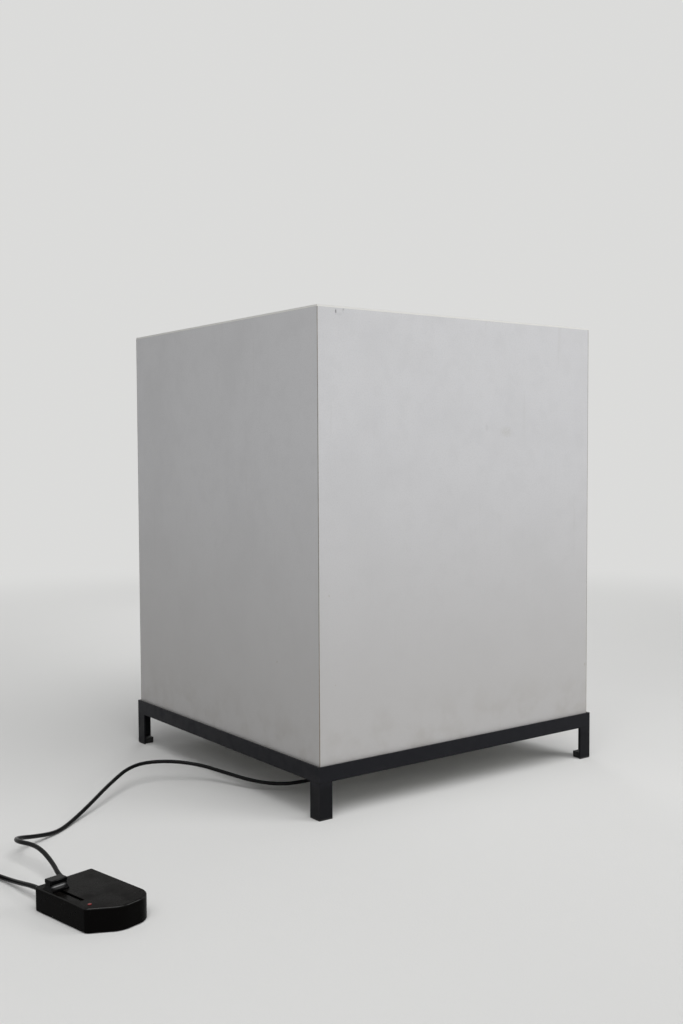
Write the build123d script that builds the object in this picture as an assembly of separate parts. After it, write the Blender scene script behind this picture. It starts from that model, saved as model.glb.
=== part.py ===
"""Floor lamp: a tall opal box shade standing in a dark steel angle frame, with a foot dimmer on its lead.

Millimetres. X runs to the right along the front face, Y runs away from the front, Z is up.
The origin is on the floor, under the centre of the square frame. The front left corner of the frame
is the one nearest to the eye in the photograph. The dimmer lies on the floor to the left.
"""
from build123d import *
import math
import os

os.makedirs("parts", exist_ok=True)

# ---------------------------------------------------------------- driving dimensions
# shade: four mitred opal walls with a panel laid on top
SHADE_SIDE = 600.0
SHADE_HEIGHT = 720.0
PANEL = 3.0
BOND = 1.2                      # width of the aged bond line in each mitre
PANEL_EDGE = 0.4                # broken edge of the top panel

# frame: steel angle, mitred rails on short legs
ANGLE_LEG = 25.0
ANGLE_WALL = 3.0
ANGLE_EDGE = 0.6
ANGLE_ROOT = 1.0
RAIL_BOTTOM = 58.0
SHADE_GAP = 1.5                 # between the shade and the upstanding flange
FOOT_PLATE = 2.5
FOOT_PLUG = 8.5
FOOT_REACH = 21.0               # from the angle's outer corner to the plug's open sides
FOOT_EDGE = 0.8
FOOT_FIT = 0.2

# base tray and its screws
TRAY = 2.0
TRAY_GAP = 0.2
SCREW_D = 4.0
SCREW_HOLE = 4.4
SCREW_HEAD_D = 8.0
SCREW_HEAD_H = 2.4
SCREW_LENGTH = 8.0
SCREW_SPACING = 300.0
EARTH_HEAD_D = 9.0
EARTH_INSET = 57.3              # from the tray's left edge
EARTH_CLEAR = 22.0              # behind the terminal cover
CROSS_WIDTH = 1.0               # cross slot of a screw head
CROSS_DEPTH = 0.8

# lampholders and bulbs
LAMP_SPACING = 240.0
HOLDER_BASE = 52.0
HOLDER_BASE_H = 14.0
HOLDER_BARREL_D = 39.0
HOLDER_H = 52.0
HOLDER_BORE_D = 28.0
HOLDER_CORNER = 8.0
HOLDER_EDGE = 2.0
HOLDER_LIP = 1.5
NIPPLE_D = 10.0
NIPPLE_HOLE = 10.5
NIPPLE_LENGTH = 9.0
NUT_FLATS = 14.0
NUT_H = 4.0
CAP_D = 26.5
CAP_LENGTH = 27.0
CAP_LIFT = 0.3                  # running gap between a bulb and its holder
CONTACT_R = 4.0
CONTACT_H = 2.0
THREAD_START = 5.0              # height of the first turn above the contact
THREAD_END = 4.0                # plain stretch above the last turn
THREAD_DEPTH = 1.1
THREAD_TURNS = 5
BULB_D = 60.0
BULB_COLLAR = 30.0
BULB_NECK_D = 29.5
BULB_BASE_D = 56.0
BULB_HEIGHT = 110.0
GLOBE_WALL = 1.2

# mains connection on the tray
LEAD_EXIT = (-216.0, -182.0)    # where the lamp lead goes down through the tray
COVER_SIZE = (110.0, 60.0, 34.0)
COVER_END = 19.0                # from the lead to the cover's near end
HOLDER_CLEAR = 6.0              # from the cover to the first lampholder
COVER_WALL = 2.0
COVER_CORNER = 4.0
COVER_EDGE = 1.5
BLOCK_SIZE = (44.0, 22.0, 22.0)
BLOCK_FIT = 1.0                 # between the terminal block and the cover
BLOCK_PORT_D = 4.0
BLOCK_PORT_DEPTH = 6.0
BLOCK_RIB = 1.6                 # groove between two ways, and its depth
BLOCK_RIB_DEPTH = 4.0
INNER_CABLE_D = 5.0
CABLE_BOW = 9.0                 # how far a link bows out between two lampholders
CABLE_FIT = 0.5                 # all round, where a cable passes through a wall
CABLE_LIFT = 0.2
LINK_OFFSET = 16.0              # from the block's centre to the cable to the first lampholder
CLAMP_WIDTH = 9.0
CLAMP_BAR = 2.5
CLAMP_EAR = 7.0
CLAMP_SCREW_D = 5.0
CLAMP_SCREW_H = 1.6

# leads
LEAD_D = 6.2
RELIEF_LENGTH = 20.0
RELIEF_ROOT_D = 10.0
RELIEF_TIP_D = 7.4
RELIEF_FLANGE_D = 15.0
RELIEF_FLANGE = 2.0
RELIEF_RINGS = 4
RING_GROOVE = 1.2
RING_DEPTH = 0.8
RELIEF_SKIN = 0.3               # least wall left under a ring groove
RELIEF_FIT = 0.2                # all round, in a port of the dimmer

# dimmer: plan outline in its own frame, X away from the lead end and Y across
DIMMER_CORNER = (-779.1, -368.9)
DIMMER_HEADING = -78.5
DIMMER_LENGTH = 131.0
DIMMER_WIDTH = 84.0
DIMMER_SIDE = 105.0             # length of the straight left side
DIMMER_SHOULDER = 34.0          # where the slanted end meets the far end
DIMMER_TAPER = 3.0              # the far end's other corner lies back by this
DIMMER_CORNERS = (3.0, 8.0, 30.0, 26.0, 3.0)
DIMMER_HEIGHT = 30.5
DIMMER_WALL = 2.2
DIMMER_SPLIT = 15.0
PAD_H = 1.0
PAD_D = 9.0
TOP_ROUND = 2.0
FOOT_ROUND = 1.0
LEAD_OFFSET = 22.0              # from each long side to the lead's axis
SLOT_Y = 13.4
SLOT_WIDTH = 5.0
SLOT_END_GAP = 1.0
TRAVEL = 50.0
KNOB_REST_X = 26.0
KNOB_WIDTH = 24.0
KNOB_TOP = 15.0
KNOB_FOOT = 21.0
KNOB_WAIST = 10.0
KNOB_HEIGHT = 13.5
KNOB_BAR = 4.2                  # thickness of the bar across its top
KNOB_ENDS = 2.2                 # rounding of the bar's four upright edges
KNOB_SOLE = 1.4
KNOB_FLOAT = 0.3
KNOB_EDGE = 1.2
STEM_X = 9.0
STEM_Y = 3.8
STEM_DROP = 19.0
INDICATOR = (97.5, 11.5)
INDICATOR_D = 5.0
BOARD = 1.6
BOARD_Z = 6.0
BOARD_START = 10.0              # from the lead end to the board
BOARD_END = 4.0                 # from the board to the end of the straight side
BOARD_INSET = (4.5, 14.0)       # from the two long sides
BOSS_D = 7.0
BOSS_CLEAR = 1.0
BOSS_DEPTH = 3.0                # solid end of a boss in the upper shell
STANDOFF_D = 6.0
DIMMER_SCREW_D = 3.0
SCREW_REACH = 8.0               # above the split line
SCREW_SINK = 1.8                # depth of a screw's head in the lower shell
SCREW_FLUSH = 0.3
CAPACITOR = (8.0, 6.0, 9.0)
CAPACITOR_AT = (92.0, 63.0)
TRIAC_AT = (44.0, 59.0)
SINK_SIZE = (28.0, 2.0)
SINK_FIN = (1.5, 6.0)
SINK_FIN_PITCH = 7.0
SINK_FINS = 4
SINK_CLEAR = 2.0                # below the upper shell
TRIAC_SIZE = (10.0, 4.5, 15.0)
CHOKE_AT = (66.0, 44.0)
CHOKE_SIZE = (24.0, 10.0, 9.0)  # outside, hole, height
CHOKE_EDGE = 2.0
FUSE_AT = (36.0, 38.0)
FUSE_D = 5.0
FUSE_LENGTH = 20.0
FUSE_CLIP = (4.0, 7.0, 5.0)
FUSE_CLIP_SPAN = 15.0
CORD_BAR = 4.0                  # clamp bar over a lead inside the dimmer
CORD_BAR_X = 4.5
CORD_BAR_TOP = 2.0
CORD_FIT = 0.3
LEAD_STUB = 10.0                # lead past the relief, inside the dimmer
POT_WIDTH = 10.0
POT_END = 9.0
POT_RISE = 3.0                  # above the split line
POT_FIT = 0.5

# put-away coil of the mains lead
COIL_CENTRE = (-830.0, -212.0)
COIL_START = 16.0               # bearing of its first point from its centre, in degrees
COIL_TURNS = 7.5
COIL_LAYERS = 4
COIL_MEAN_R = 34.5
COIL_PITCH = 7.0
TIE_WIDTH = 12.0
TIE_THICK = 1.0
TIE_FIT = 0.3
TIE_BEARING = 100.0

# plug
PLUG_FACE_D = 37.5
PLUG_FACE_LENGTH = 18.0
PLUG_GRIP_LENGTH = 26.0
PLUG_GRIP_D = 30.0
PLUG_NECK_D = 13.0
PLUG_RELIEF = 24.0
PLUG_EDGE = 1.2
PLUG_SHOULDER = (2.0, 7.0)      # rounding of the grip's back end, inwards and along
PLUG_BELLY = 12.0
PLUG_WAIST = (1.0, 3.0)         # drawn in before the face, inwards and along
PLUG_KEY = (6.0, 4.5, 14.0)     # flat key slots on both sides
PIN_D = 4.8
PIN_LENGTH = 19.0
PIN_SPACING = 19.0
EARTH_STRIP = (4.5, 1.0)
PLUG_FLOOR_GAP = 0.2

# ---------------------------------------------------------------- what follows from them
frame_half = SHADE_SIDE / 2 + SHADE_GAP + ANGLE_WALL
flange_top = RAIL_BOTTOM + ANGLE_WALL
tray_top = flange_top + TRAY
tray_half = frame_half - ANGLE_WALL - ANGLE_ROOT - TRAY_GAP
shade_half = SHADE_SIDE / 2
shade_top = tray_top + SHADE_HEIGHT
lead_r = LEAD_D / 2
cover_x0 = LEAD_EXIT[0] - COVER_END
cover_x1 = cover_x0 + COVER_SIZE[0]
lamp_half = LAMP_SPACING / 2
lamp_spots = ((-lamp_half, -lamp_half), (lamp_half, -lamp_half),
              (lamp_half, lamp_half), (-lamp_half, lamp_half))
holder_front = -lamp_half - HOLDER_BASE / 2
lead_y = LEAD_EXIT[1]
cover_y1 = holder_front - HOLDER_CLEAR
cover_y0 = cover_y1 - COVER_SIZE[1]
block_x = cover_x1 - COVER_WALL - BLOCK_FIT - BLOCK_SIZE[0] / 2
block_face = block_x - BLOCK_SIZE[0] / 2
link_x = block_x + LINK_OFFSET
clamp_x = (LEAD_EXIT[0] + block_face) / 2
earth_spot = (EARTH_INSET - tray_half, cover_y1 + EARTH_CLEAR)
corner_names = ("front_left", "front_right", "back_right", "back_left")
side_names = ("front", "right", "back", "left")


def save(name, shape):
    """Write one piece, or one group of like pieces, to its own file."""
    shape.label = name
    export_step(shape, f"parts/{name}.step")


def block(x0, x1, y0, y1, z0, z1):
    """A box between two corners."""
    return Pos((x0 + x1) / 2, (y0 + y1) / 2, (z0 + z1) / 2) * Box(x1 - x0, y1 - y0, z1 - z0)


def rod(x, y, z0, z1, diameter):
    """An upright round bar."""
    return Pos(x, y, (z0 + z1) / 2) * Cylinder(diameter / 2, z1 - z0)


def group(solids):
    """Separate solids kept together in one node."""
    return Compound(children=list(solids))


def turned(points):
    """A solid of revolution about Z from a closed outline of (radius, height)."""
    outline = Plane.XZ * make_face(Polyline(*points, close=True))
    return revolve(outline, Axis.Z)


def corner_radii(points, share=0.45):
    """The largest even radius at each inner point of a route, as a share of its shorter run."""
    radii = []
    for before, here, after in zip(points, points[1:], points[2:]):
        a = Vector(*here) - Vector(*before)
        b = Vector(*after) - Vector(*here)
        half_turn = math.radians(a.get_angle(b) / 2)
        radii.append(share * min(a.length, b.length) / math.tan(half_turn))
    return radii


def tube(name, points, diameter):
    """A round lead along straight runs joined by tangent arcs."""
    radii = corner_radii(points)
    path = FilletPolyline(*points, radius=radii)
    start = Plane(origin=points[0], z_dir=Vector(*points[1]) - Vector(*points[0]))
    solid = sweep(start * Circle(diameter / 2), path=path)
    section = math.pi * diameter ** 2 / 4
    print(f"{name}: length {path.length:.1f}, radii {[round(r, 1) for r in radii]},",
          f"volume / (section x length) {solid.volume / (section * path.length):.4f}")
    return solid


def relief(length, root_d, tip_d):
    """A moulded strain relief that tapers upwards from z = 0, with ring grooves."""
    body = Pos(0, 0, length / 2) * Cone(root_d / 2, tip_d / 2, length)
    pitch = length / (RELIEF_RINGS + 1)
    for ring in range(1, RELIEF_RINGS + 1):
        z = ring * pitch
        radius = (root_d + (tip_d - root_d) * z / length) / 2
        depth = min(RING_DEPTH, radius - lead_r - RELIEF_SKIN)
        groove = Cylinder(radius + 1, RING_GROOVE) - Cylinder(radius - depth, RING_GROOVE)
        body -= Pos(0, 0, z) * groove
    return body


# ---------------------------------------------------------------- frame
def angle_profile():
    """The section of the steel angle, with its outer corner at the origin."""
    face = make_face(Polyline((0, 0), (ANGLE_LEG, 0), (ANGLE_LEG, ANGLE_WALL), (ANGLE_WALL, ANGLE_WALL),
                              (ANGLE_WALL, ANGLE_LEG), (0, ANGLE_LEG), close=True))
    inner = [v for v in face.vertices() if abs(v.X - ANGLE_WALL) < 0.01 and abs(v.Y - ANGLE_WALL) < 0.01]
    face = fillet(inner, ANGLE_ROOT)
    toes = [v for v in face.vertices() if max(v.X, v.Y) > ANGLE_LEG - 0.01]
    return fillet(toes, ANGLE_EDGE)


def screw_spots():
    """Where the tray is screwed down, in pairs along each rail's flat flange."""
    inset = frame_half - (ANGLE_WALL + ANGLE_LEG) / 2
    spots = []
    for turn in range(4):
        for along in (-SCREW_SPACING / 2, SCREW_SPACING / 2):
            point = Vector(along, -inset, 0).rotate(Axis.Z, 90 * turn)
            spots.append((point.X, point.Y))
    return spots


def rail():
    """The front rail: upstanding flange outside, flat flange at the bottom, both ends mitred."""
    profile = Plane(origin=(-frame_half, -frame_half, RAIL_BOTTOM), x_dir=(0, 1, 0), z_dir=(1, 0, 0))
    bar = extrude(profile * angle_profile(), 2 * frame_half)
    wedge = make_face(Polyline((0, 0), (-frame_half, -frame_half), (frame_half, -frame_half), close=True))
    bar &= Pos(0, 0, RAIL_BOTTOM) * extrude(wedge, ANGLE_LEG)
    inset = frame_half - (ANGLE_WALL + ANGLE_LEG) / 2
    for along in (-SCREW_SPACING / 2, SCREW_SPACING / 2):
        bar -= rod(along, -inset, RAIL_BOTTOM - 1, flange_top + 1, SCREW_D)
    return bar


def leg():
    """The front left leg, under the corner of the rails, open to the inside."""
    profile = Plane(origin=(-frame_half, -frame_half, FOOT_PLATE))
    bar = extrude(profile * angle_profile(), RAIL_BOTTOM - FOOT_PLATE)
    return bar


def foot():
    """The front left foot: a plug inside the angle, on a plate that the angle stands on."""
    plate = block(0, FOOT_REACH, 0, FOOT_REACH, 0, FOOT_PLATE)
    plate += block(0, ANGLE_LEG, 0, ANGLE_WALL, 0, FOOT_PLATE)
    plate += block(0, ANGLE_WALL, 0, ANGLE_LEG, 0, FOOT_PLATE)
    plate = fillet(plate.edges().filter_by(Axis.Z), FOOT_EDGE)
    plate = chamfer(plate.faces().sort_by(Axis.Z)[0].edges(), FOOT_EDGE / 2)
    low = ANGLE_WALL + FOOT_FIT
    plug = block(low, FOOT_REACH, low, FOOT_REACH, FOOT_PLATE, FOOT_PLATE + FOOT_PLUG)
    plug = chamfer(plug.edges().filter_by(Axis.Z).sort_by(lambda e: e.center().X + e.center().Y)[0],
                   ANGLE_WALL)
    return Pos(-frame_half, -frame_half, 0) * (plate + plug)


for turn, (side, corner) in enumerate(zip(side_names, corner_names)):
    spin = Rot(0, 0, 90 * turn)
    save(f"rail_{side}", spin * rail())
    save(f"leg_{corner}", spin * leg())
    save(f"foot_{corner}", spin * foot())


# ---------------------------------------------------------------- tray, screws
def tray():
    """The steel base plate, lying on the rails' flat flanges."""
    plate = block(-tray_half, tray_half, -tray_half, tray_half, flange_top, tray_top)
    for x, y in screw_spots():
        plate -= rod(x, y, flange_top - 1, tray_top + 1, SCREW_HOLE)
    for x, y in lamp_spots:
        plate -= rod(x, y, flange_top - 1, tray_top + 1, NIPPLE_HOLE)
    plate -= rod(*earth_spot, flange_top - 1, tray_top + 1, SCREW_HOLE)
    plate -= rod(*LEAD_EXIT, flange_top - 1, tray_top + 1, RELIEF_ROOT_D + 2 * CABLE_FIT)
    return plate


def cross_slot(x, y, z, span):
    """The cutter for a cross slot, half of it above the height z."""
    return Pos(x, y, z) * (Box(span, CROSS_WIDTH, 2 * CROSS_DEPTH) + Box(CROSS_WIDTH, span, 2 * CROSS_DEPTH))


def pan_screw(x, y, seat, length, head_d, head_h, shank_d):
    """A cross-slotted pan head screw, pointing down, with its head on the seat."""
    head = fillet(rod(x, y, seat, seat + head_h, head_d).faces().sort_by(Axis.Z)[-1].edges(), head_h * 0.45)
    return head - cross_slot(x, y, seat + head_h, head_d * 0.6) + rod(x, y, seat - length, seat, shank_d)


save("base_tray", tray())
save("tray_screws", group(pan_screw(x, y, tray_top, SCREW_LENGTH, SCREW_HEAD_D, SCREW_HEAD_H, SCREW_D)
                          for x, y in screw_spots()))
save("earth_screw", pan_screw(*earth_spot, tray_top, SCREW_LENGTH, EARTH_HEAD_D, SCREW_HEAD_H, SCREW_D))


# ---------------------------------------------------------------- lampholders and bulbs
def lampholder(x, y):
    """A batten lampholder with its threaded nipple through the tray."""
    base = Box(HOLDER_BASE, HOLDER_BASE, HOLDER_BASE_H)
    base = Pos(0, 0, HOLDER_BASE_H / 2) * fillet(base.edges().filter_by(Axis.Z), HOLDER_CORNER)
    base = fillet(base.faces().sort_by(Axis.Z)[-1].edges(), HOLDER_EDGE)
    barrel = rod(0, 0, HOLDER_BASE_H, HOLDER_H, HOLDER_BARREL_D)
    barrel = fillet(barrel.faces().sort_by(Axis.Z)[-1].edges(), HOLDER_LIP)
    bore = rod(0, 0, HOLDER_H - CAP_LENGTH, HOLDER_H + 1, HOLDER_BORE_D)
    nipple = rod(0, 0, -TRAY - NIPPLE_LENGTH, 0, NIPPLE_D)
    return Pos(x, y, tray_top) * (base + barrel - bore + nipple)


def nut(x, y):
    """The hexagon nut that holds a lampholder from under the tray."""
    hexagon = RegularPolygon(NUT_FLATS / 2, 6, major_radius=False) - Circle(NIPPLE_D / 2)
    return Pos(x, y, flange_top - NUT_H) * extrude(hexagon, NUT_H)


cap_bottom = tray_top + HOLDER_H - CAP_LENGTH + CAP_LIFT
collar_bottom = cap_bottom + CAP_LENGTH
collar_top = collar_bottom + BULB_COLLAR
bulb_top = cap_bottom + BULB_HEIGHT


def bulb_base(x, y):
    """The screw cap with its contact and the finned collar of a bulb."""
    crest = CAP_D / 2
    root = crest - THREAD_DEPTH
    step = (CAP_LENGTH - THREAD_START - THREAD_END) / THREAD_TURNS
    points = [(0, 0), (CONTACT_R, 0), (CONTACT_R, CONTACT_H), (root - 3.0, THREAD_START)]
    for turn in range(THREAD_TURNS):
        low = THREAD_START + turn * step
        points += [(root, low + 0.1), (crest, low + step * 0.5)]
    points += [(root, THREAD_START + THREAD_TURNS * step + 0.1), (crest, CAP_LENGTH)]
    points += [(BULB_NECK_D / 2, CAP_LENGTH), (BULB_NECK_D / 2 + 1.5, CAP_LENGTH + 4.0)]
    rim = CAP_LENGTH + BULB_COLLAR
    points += [(BULB_BASE_D / 2 - 1.0, rim - 3.0), (BULB_BASE_D / 2, rim), (0, rim)]
    return Pos(x, y, cap_bottom) * turned(points)


def dome(radius, foot_r, height):
    """A solid dome: a half ball on a slightly tapered skirt."""
    belt = height - radius
    ball = Sphere(radius, arc_size1=0, align=(Align.CENTER, Align.CENTER, Align.MIN))
    return Pos(0, 0, belt / 2) * Cone(foot_r, radius, belt) + Pos(0, 0, belt) * ball


def bulb_globe(x, y):
    """The frosted dome of a bulb, as a thin shell standing on the collar."""
    outer = BULB_D / 2
    foot_r = BULB_BASE_D / 2
    height = bulb_top - collar_top
    shell = dome(outer, foot_r, height) - dome(outer - GLOBE_WALL, foot_r - GLOBE_WALL, height - GLOBE_WALL)
    return Pos(x, y, collar_top) * shell


for number, (x, y) in enumerate(lamp_spots, start=1):
    save(f"lampholder_{number}", lampholder(x, y))
    save(f"bulb_base_{number}", bulb_base(x, y))
    save(f"bulb_globe_{number}", bulb_globe(x, y))
save("lampholder_nuts", group(nut(x, y) for x, y in lamp_spots))

# ---------------------------------------------------------------- mains connection on the tray
cable_z = tray_top + INNER_CABLE_D / 2 + CABLE_LIFT
lead_in_z = tray_top + BLOCK_SIZE[2] - lead_r - 1.5


def terminal_cover():
    """A shallow insulating box, open below, over the mains connection."""
    box = block(cover_x0, cover_x1, cover_y0, cover_y1, tray_top, tray_top + COVER_SIZE[2])
    box = fillet(box.edges().filter_by(Axis.Z), COVER_CORNER)
    box = fillet(box.faces().sort_by(Axis.Z)[-1].edges(), COVER_EDGE)
    wall = COVER_WALL
    box -= block(cover_x0 + wall, cover_x1 - wall, cover_y0 + wall, cover_y1 - wall,
                 tray_top - 1, tray_top + COVER_SIZE[2] - wall)
    half_port = INNER_CABLE_D / 2 + CABLE_FIT
    return box - block(link_x - half_port, link_x + half_port, cover_y1 - wall - 1, cover_y1 + 1,
                       tray_top - 1, cable_z + half_port)


def terminal_block():
    """A three-way screw terminal block."""
    length, width, height = BLOCK_SIZE
    top = tray_top + height
    body = block(block_x - length / 2, block_x + length / 2, lead_y - width / 2, lead_y + width / 2,
                 tray_top, top)
    for way in (-1, 0, 1):
        body -= rod(block_x + way * length / 3, lead_y, top - BLOCK_PORT_DEPTH, top + 1, BLOCK_PORT_D)
    for way in (-0.5, 0.5):
        x = block_x + way * length / 3
        body -= block(x - BLOCK_RIB / 2, x + BLOCK_RIB / 2, lead_y - width, lead_y + width,
                      top - BLOCK_RIB_DEPTH, top + 1)
    return body


def cord_clamp():
    """A saddle over the mains lead, screwed to the tray beside the terminal block."""
    gap = lead_r + CABLE_FIT
    top = lead_in_z + gap
    half = gap + CLAMP_EAR
    body = block(clamp_x - CLAMP_WIDTH / 2, clamp_x + CLAMP_WIDTH / 2, lead_y - half, lead_y + half,
                 tray_top, top + CLAMP_BAR)
    body -= block(clamp_x - CLAMP_WIDTH, clamp_x + CLAMP_WIDTH, lead_y - gap, lead_y + gap,
                  tray_top - 1, top)
    for side in (-1, 1):
        y = lead_y + side * (gap + CLAMP_EAR / 2)
        body += rod(clamp_x, y, top + CLAMP_BAR, top + CLAMP_BAR + CLAMP_SCREW_H, CLAMP_SCREW_D)
    return body


def inner_cables():
    """The lead's end inside the cover, and the cable that joins the lampholders one after another."""
    x, y = LEAD_EXIT
    relief_top = tray_top + RELIEF_FLANGE
    lead_in = [(x, y, relief_top), (x, y, lead_in_z), (block_face, y, lead_in_z)]
    half = HOLDER_BASE / 2
    block_back = lead_y + BLOCK_SIZE[1] / 2
    link = Pos(link_x, (block_back + holder_front) / 2, cable_z) * Rot(90, 0, 0)
    pieces = [tube("lead inside the cover", lead_in, LEAD_D),
              link * Cylinder(INNER_CABLE_D / 2, holder_front - block_back)]
    for number in range(3):
        a = Vector(*lamp_spots[number], cable_z)
        b = Vector(*lamp_spots[number + 1], cable_z)
        along = (b - a).normalized()
        side = along.rotate(Axis.Z, -90)
        a += along * half
        b -= along * half
        span = (b - a).length
        route = [a, a + along * span * 0.16, a + along * span * 0.38 + side * CABLE_BOW,
                 a + along * span * 0.62 + side * CABLE_BOW, b - along * span * 0.16, b]
        pieces.append(tube(f"holder {number + 1} to {number + 2}", [tuple(p) for p in route], INNER_CABLE_D))
    return group(pieces)


def tray_relief():
    """The moulded grommet of the lamp lead: flange on the tray, taper hanging below it."""
    x, y = LEAD_EXIT
    flange = Pos(0, 0, RELIEF_FLANGE / 2) * Cylinder(RELIEF_FLANGE_D / 2, RELIEF_FLANGE)
    neck = Pos(0, 0, -TRAY / 2) * Cylinder(RELIEF_ROOT_D / 2, TRAY)
    taper = Rot(180, 0, 0) * relief(RELIEF_LENGTH, RELIEF_ROOT_D, RELIEF_TIP_D)
    return Pos(x, y, tray_top) * (flange + neck + Pos(0, 0, -TRAY) * taper)


save("terminal_cover", terminal_cover())
save("terminal_block", terminal_block())
save("cord_clamp", cord_clamp())
save("inner_cables", inner_cables())
save("tray_relief", tray_relief())


# ---------------------------------------------------------------- shade
def shade_wall():
    """The front wall of the shade, mitred at both upright edges less half a bond line."""
    top = shade_top - PANEL
    cut = BOND / math.sqrt(2)
    wall = make_face(Polyline((-shade_half + cut, -shade_half), (shade_half - cut, -shade_half),
                              (shade_half - PANEL - cut, -shade_half + PANEL),
                              (-shade_half + PANEL + cut, -shade_half + PANEL), close=True))
    return Pos(0, 0, tray_top) * extrude(wall, top - tray_top)


def corner_bond():
    """The bond line in the front left mitre."""
    cut = BOND / math.sqrt(2)
    a = -shade_half
    b = -shade_half + PANEL
    bond = make_face(Polyline((a, a), (a + cut, a), (b + cut, b), (b, b), (b, b + cut), (a, a + cut),
                              close=True))
    return Pos(0, 0, tray_top) * extrude(bond, shade_top - PANEL - tray_top)


def shade_lid():
    """The top panel, laid on the four walls with its edges flush."""
    lid = block(-shade_half, shade_half, -shade_half, shade_half, shade_top - PANEL, shade_top)
    return chamfer(lid.faces().sort_by(Axis.Z)[-1].edges(), PANEL_EDGE)


for turn, side in enumerate(side_names):
    save(f"shade_{side}", Rot(0, 0, 90 * turn) * shade_wall())
save("shade_top", shade_lid())
save("shade_corner_bonds", group(Rot(0, 0, 90 * turn) * corner_bond() for turn in range(4)))

# ---------------------------------------------------------------- dimmer
dimmer_place = Pos(*DIMMER_CORNER, 0) * Rot(0, 0, DIMMER_HEADING)
slot_x0 = KNOB_REST_X - STEM_X / 2 - SLOT_END_GAP
slot_x1 = KNOB_REST_X + TRAVEL + STEM_X / 2 + SLOT_END_GAP
lead_z = DIMMER_SPLIT
board_top = BOARD_Z + BOARD
pot_top = DIMMER_SPLIT + POT_RISE
stem_bottom = DIMMER_HEIGHT - STEM_DROP
part_top = DIMMER_HEIGHT - DIMMER_WALL - SINK_CLEAR
lamp_lead_y = DIMMER_WIDTH - LEAD_OFFSET
mains_lead_y = LEAD_OFFSET
boss_spots = ((7.0, 7.0), (9.0, DIMMER_WIDTH - 7.0),
              (DIMMER_SIDE - 12.0, 18.0 + POT_WIDTH), (DIMMER_SIDE, DIMMER_WIDTH - 10.0))
board_spots = ((16.0, 32.0), (16.0, 52.0), (84.0, 34.0), (84.0, 68.0))


def dimmer_outline(inset):
    """The plan of the housing, drawn in by the wall or any other inset."""
    corners = [(0, 0), (DIMMER_SIDE, 0), (DIMMER_LENGTH, DIMMER_SHOULDER),
               (DIMMER_LENGTH - DIMMER_TAPER, DIMMER_WIDTH), (0, DIMMER_WIDTH)]
    face = make_face(Polyline(*corners, close=True))
    for (x, y), radius in zip(corners, DIMMER_CORNERS):
        face = fillet([v for v in face.vertices() if abs(v.X - x) < 0.1 and abs(v.Y - y) < 0.1], radius)
    if inset:
        face = offset(face, -inset)
    return face


def lead_bores():
    """The two round ports for the leads, on the split line at the lead end."""
    bores = []
    for y in (lamp_lead_y, mains_lead_y):
        through = Rot(0, 90, 0) * Cylinder(RELIEF_ROOT_D / 2, DIMMER_WALL * 3)
        bores.append(Pos(DIMMER_WALL / 2, y, lead_z) * through)
    return bores


def dimmer_top():
    """The upper shell, with the slider's slot and the indicator's hole."""
    height = DIMMER_HEIGHT - DIMMER_SPLIT
    shell = Pos(0, 0, DIMMER_SPLIT) * extrude(dimmer_outline(0), height)
    shell = fillet(shell.faces().sort_by(Axis.Z)[-1].edges(), TOP_ROUND)
    shell -= Pos(0, 0, DIMMER_SPLIT) * extrude(dimmer_outline(DIMMER_WALL), height - DIMMER_WALL)
    for x, y in boss_spots:
        shell += rod(x, y, DIMMER_SPLIT, DIMMER_HEIGHT - DIMMER_WALL, BOSS_D)
        shell -= rod(x, y, DIMMER_SPLIT - 1, DIMMER_HEIGHT - DIMMER_WALL - BOSS_DEPTH, DIMMER_SCREW_D)
    shell -= block(slot_x0, slot_x1, SLOT_Y - SLOT_WIDTH / 2, SLOT_Y + SLOT_WIDTH / 2,
                   DIMMER_SPLIT, DIMMER_HEIGHT + 1)
    shell -= rod(*INDICATOR, DIMMER_HEIGHT - DIMMER_WALL - 1, DIMMER_HEIGHT + 1, INDICATOR_D)
    for bore in lead_bores():
        shell -= bore
    return shell


def dimmer_bottom():
    """The lower shell, with bosses for the screws and standoffs for the board."""
    shell = Pos(0, 0, PAD_H) * extrude(dimmer_outline(0), DIMMER_SPLIT - PAD_H)
    shell = fillet(shell.faces().sort_by(Axis.Z)[0].edges(), FOOT_ROUND)
    floor = PAD_H + DIMMER_WALL
    shell -= Pos(0, 0, floor) * extrude(dimmer_outline(DIMMER_WALL), DIMMER_SPLIT)
    for x, y in boss_spots:
        shell += rod(x, y, floor, DIMMER_SPLIT, BOSS_D)
        shell -= rod(x, y, PAD_H - 1, DIMMER_SPLIT + 1, DIMMER_SCREW_D)
        shell -= rod(x, y, PAD_H - 1, PAD_H + SCREW_SINK, DIMMER_SCREW_D * 2)
    for x, y in board_spots:
        shell += rod(x, y, floor, BOARD_Z, STANDOFF_D)
    for bore in lead_bores():
        shell -= bore
    return shell


def dimmer_board():
    """The circuit board, on its standoffs, notched round the bosses."""
    board = block(BOARD_START, DIMMER_SIDE - BOARD_END, BOARD_INSET[0], DIMMER_WIDTH - BOARD_INSET[1],
                  BOARD_Z, board_top)
    for x, y in boss_spots:
        board -= rod(x, y, BOARD_Z - 1, board_top + 1, BOSS_D + 2 * BOSS_CLEAR)
    length, width, height = CAPACITOR
    return board + Pos(*CAPACITOR_AT, board_top + height / 2) * Box(length, width, height)


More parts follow.
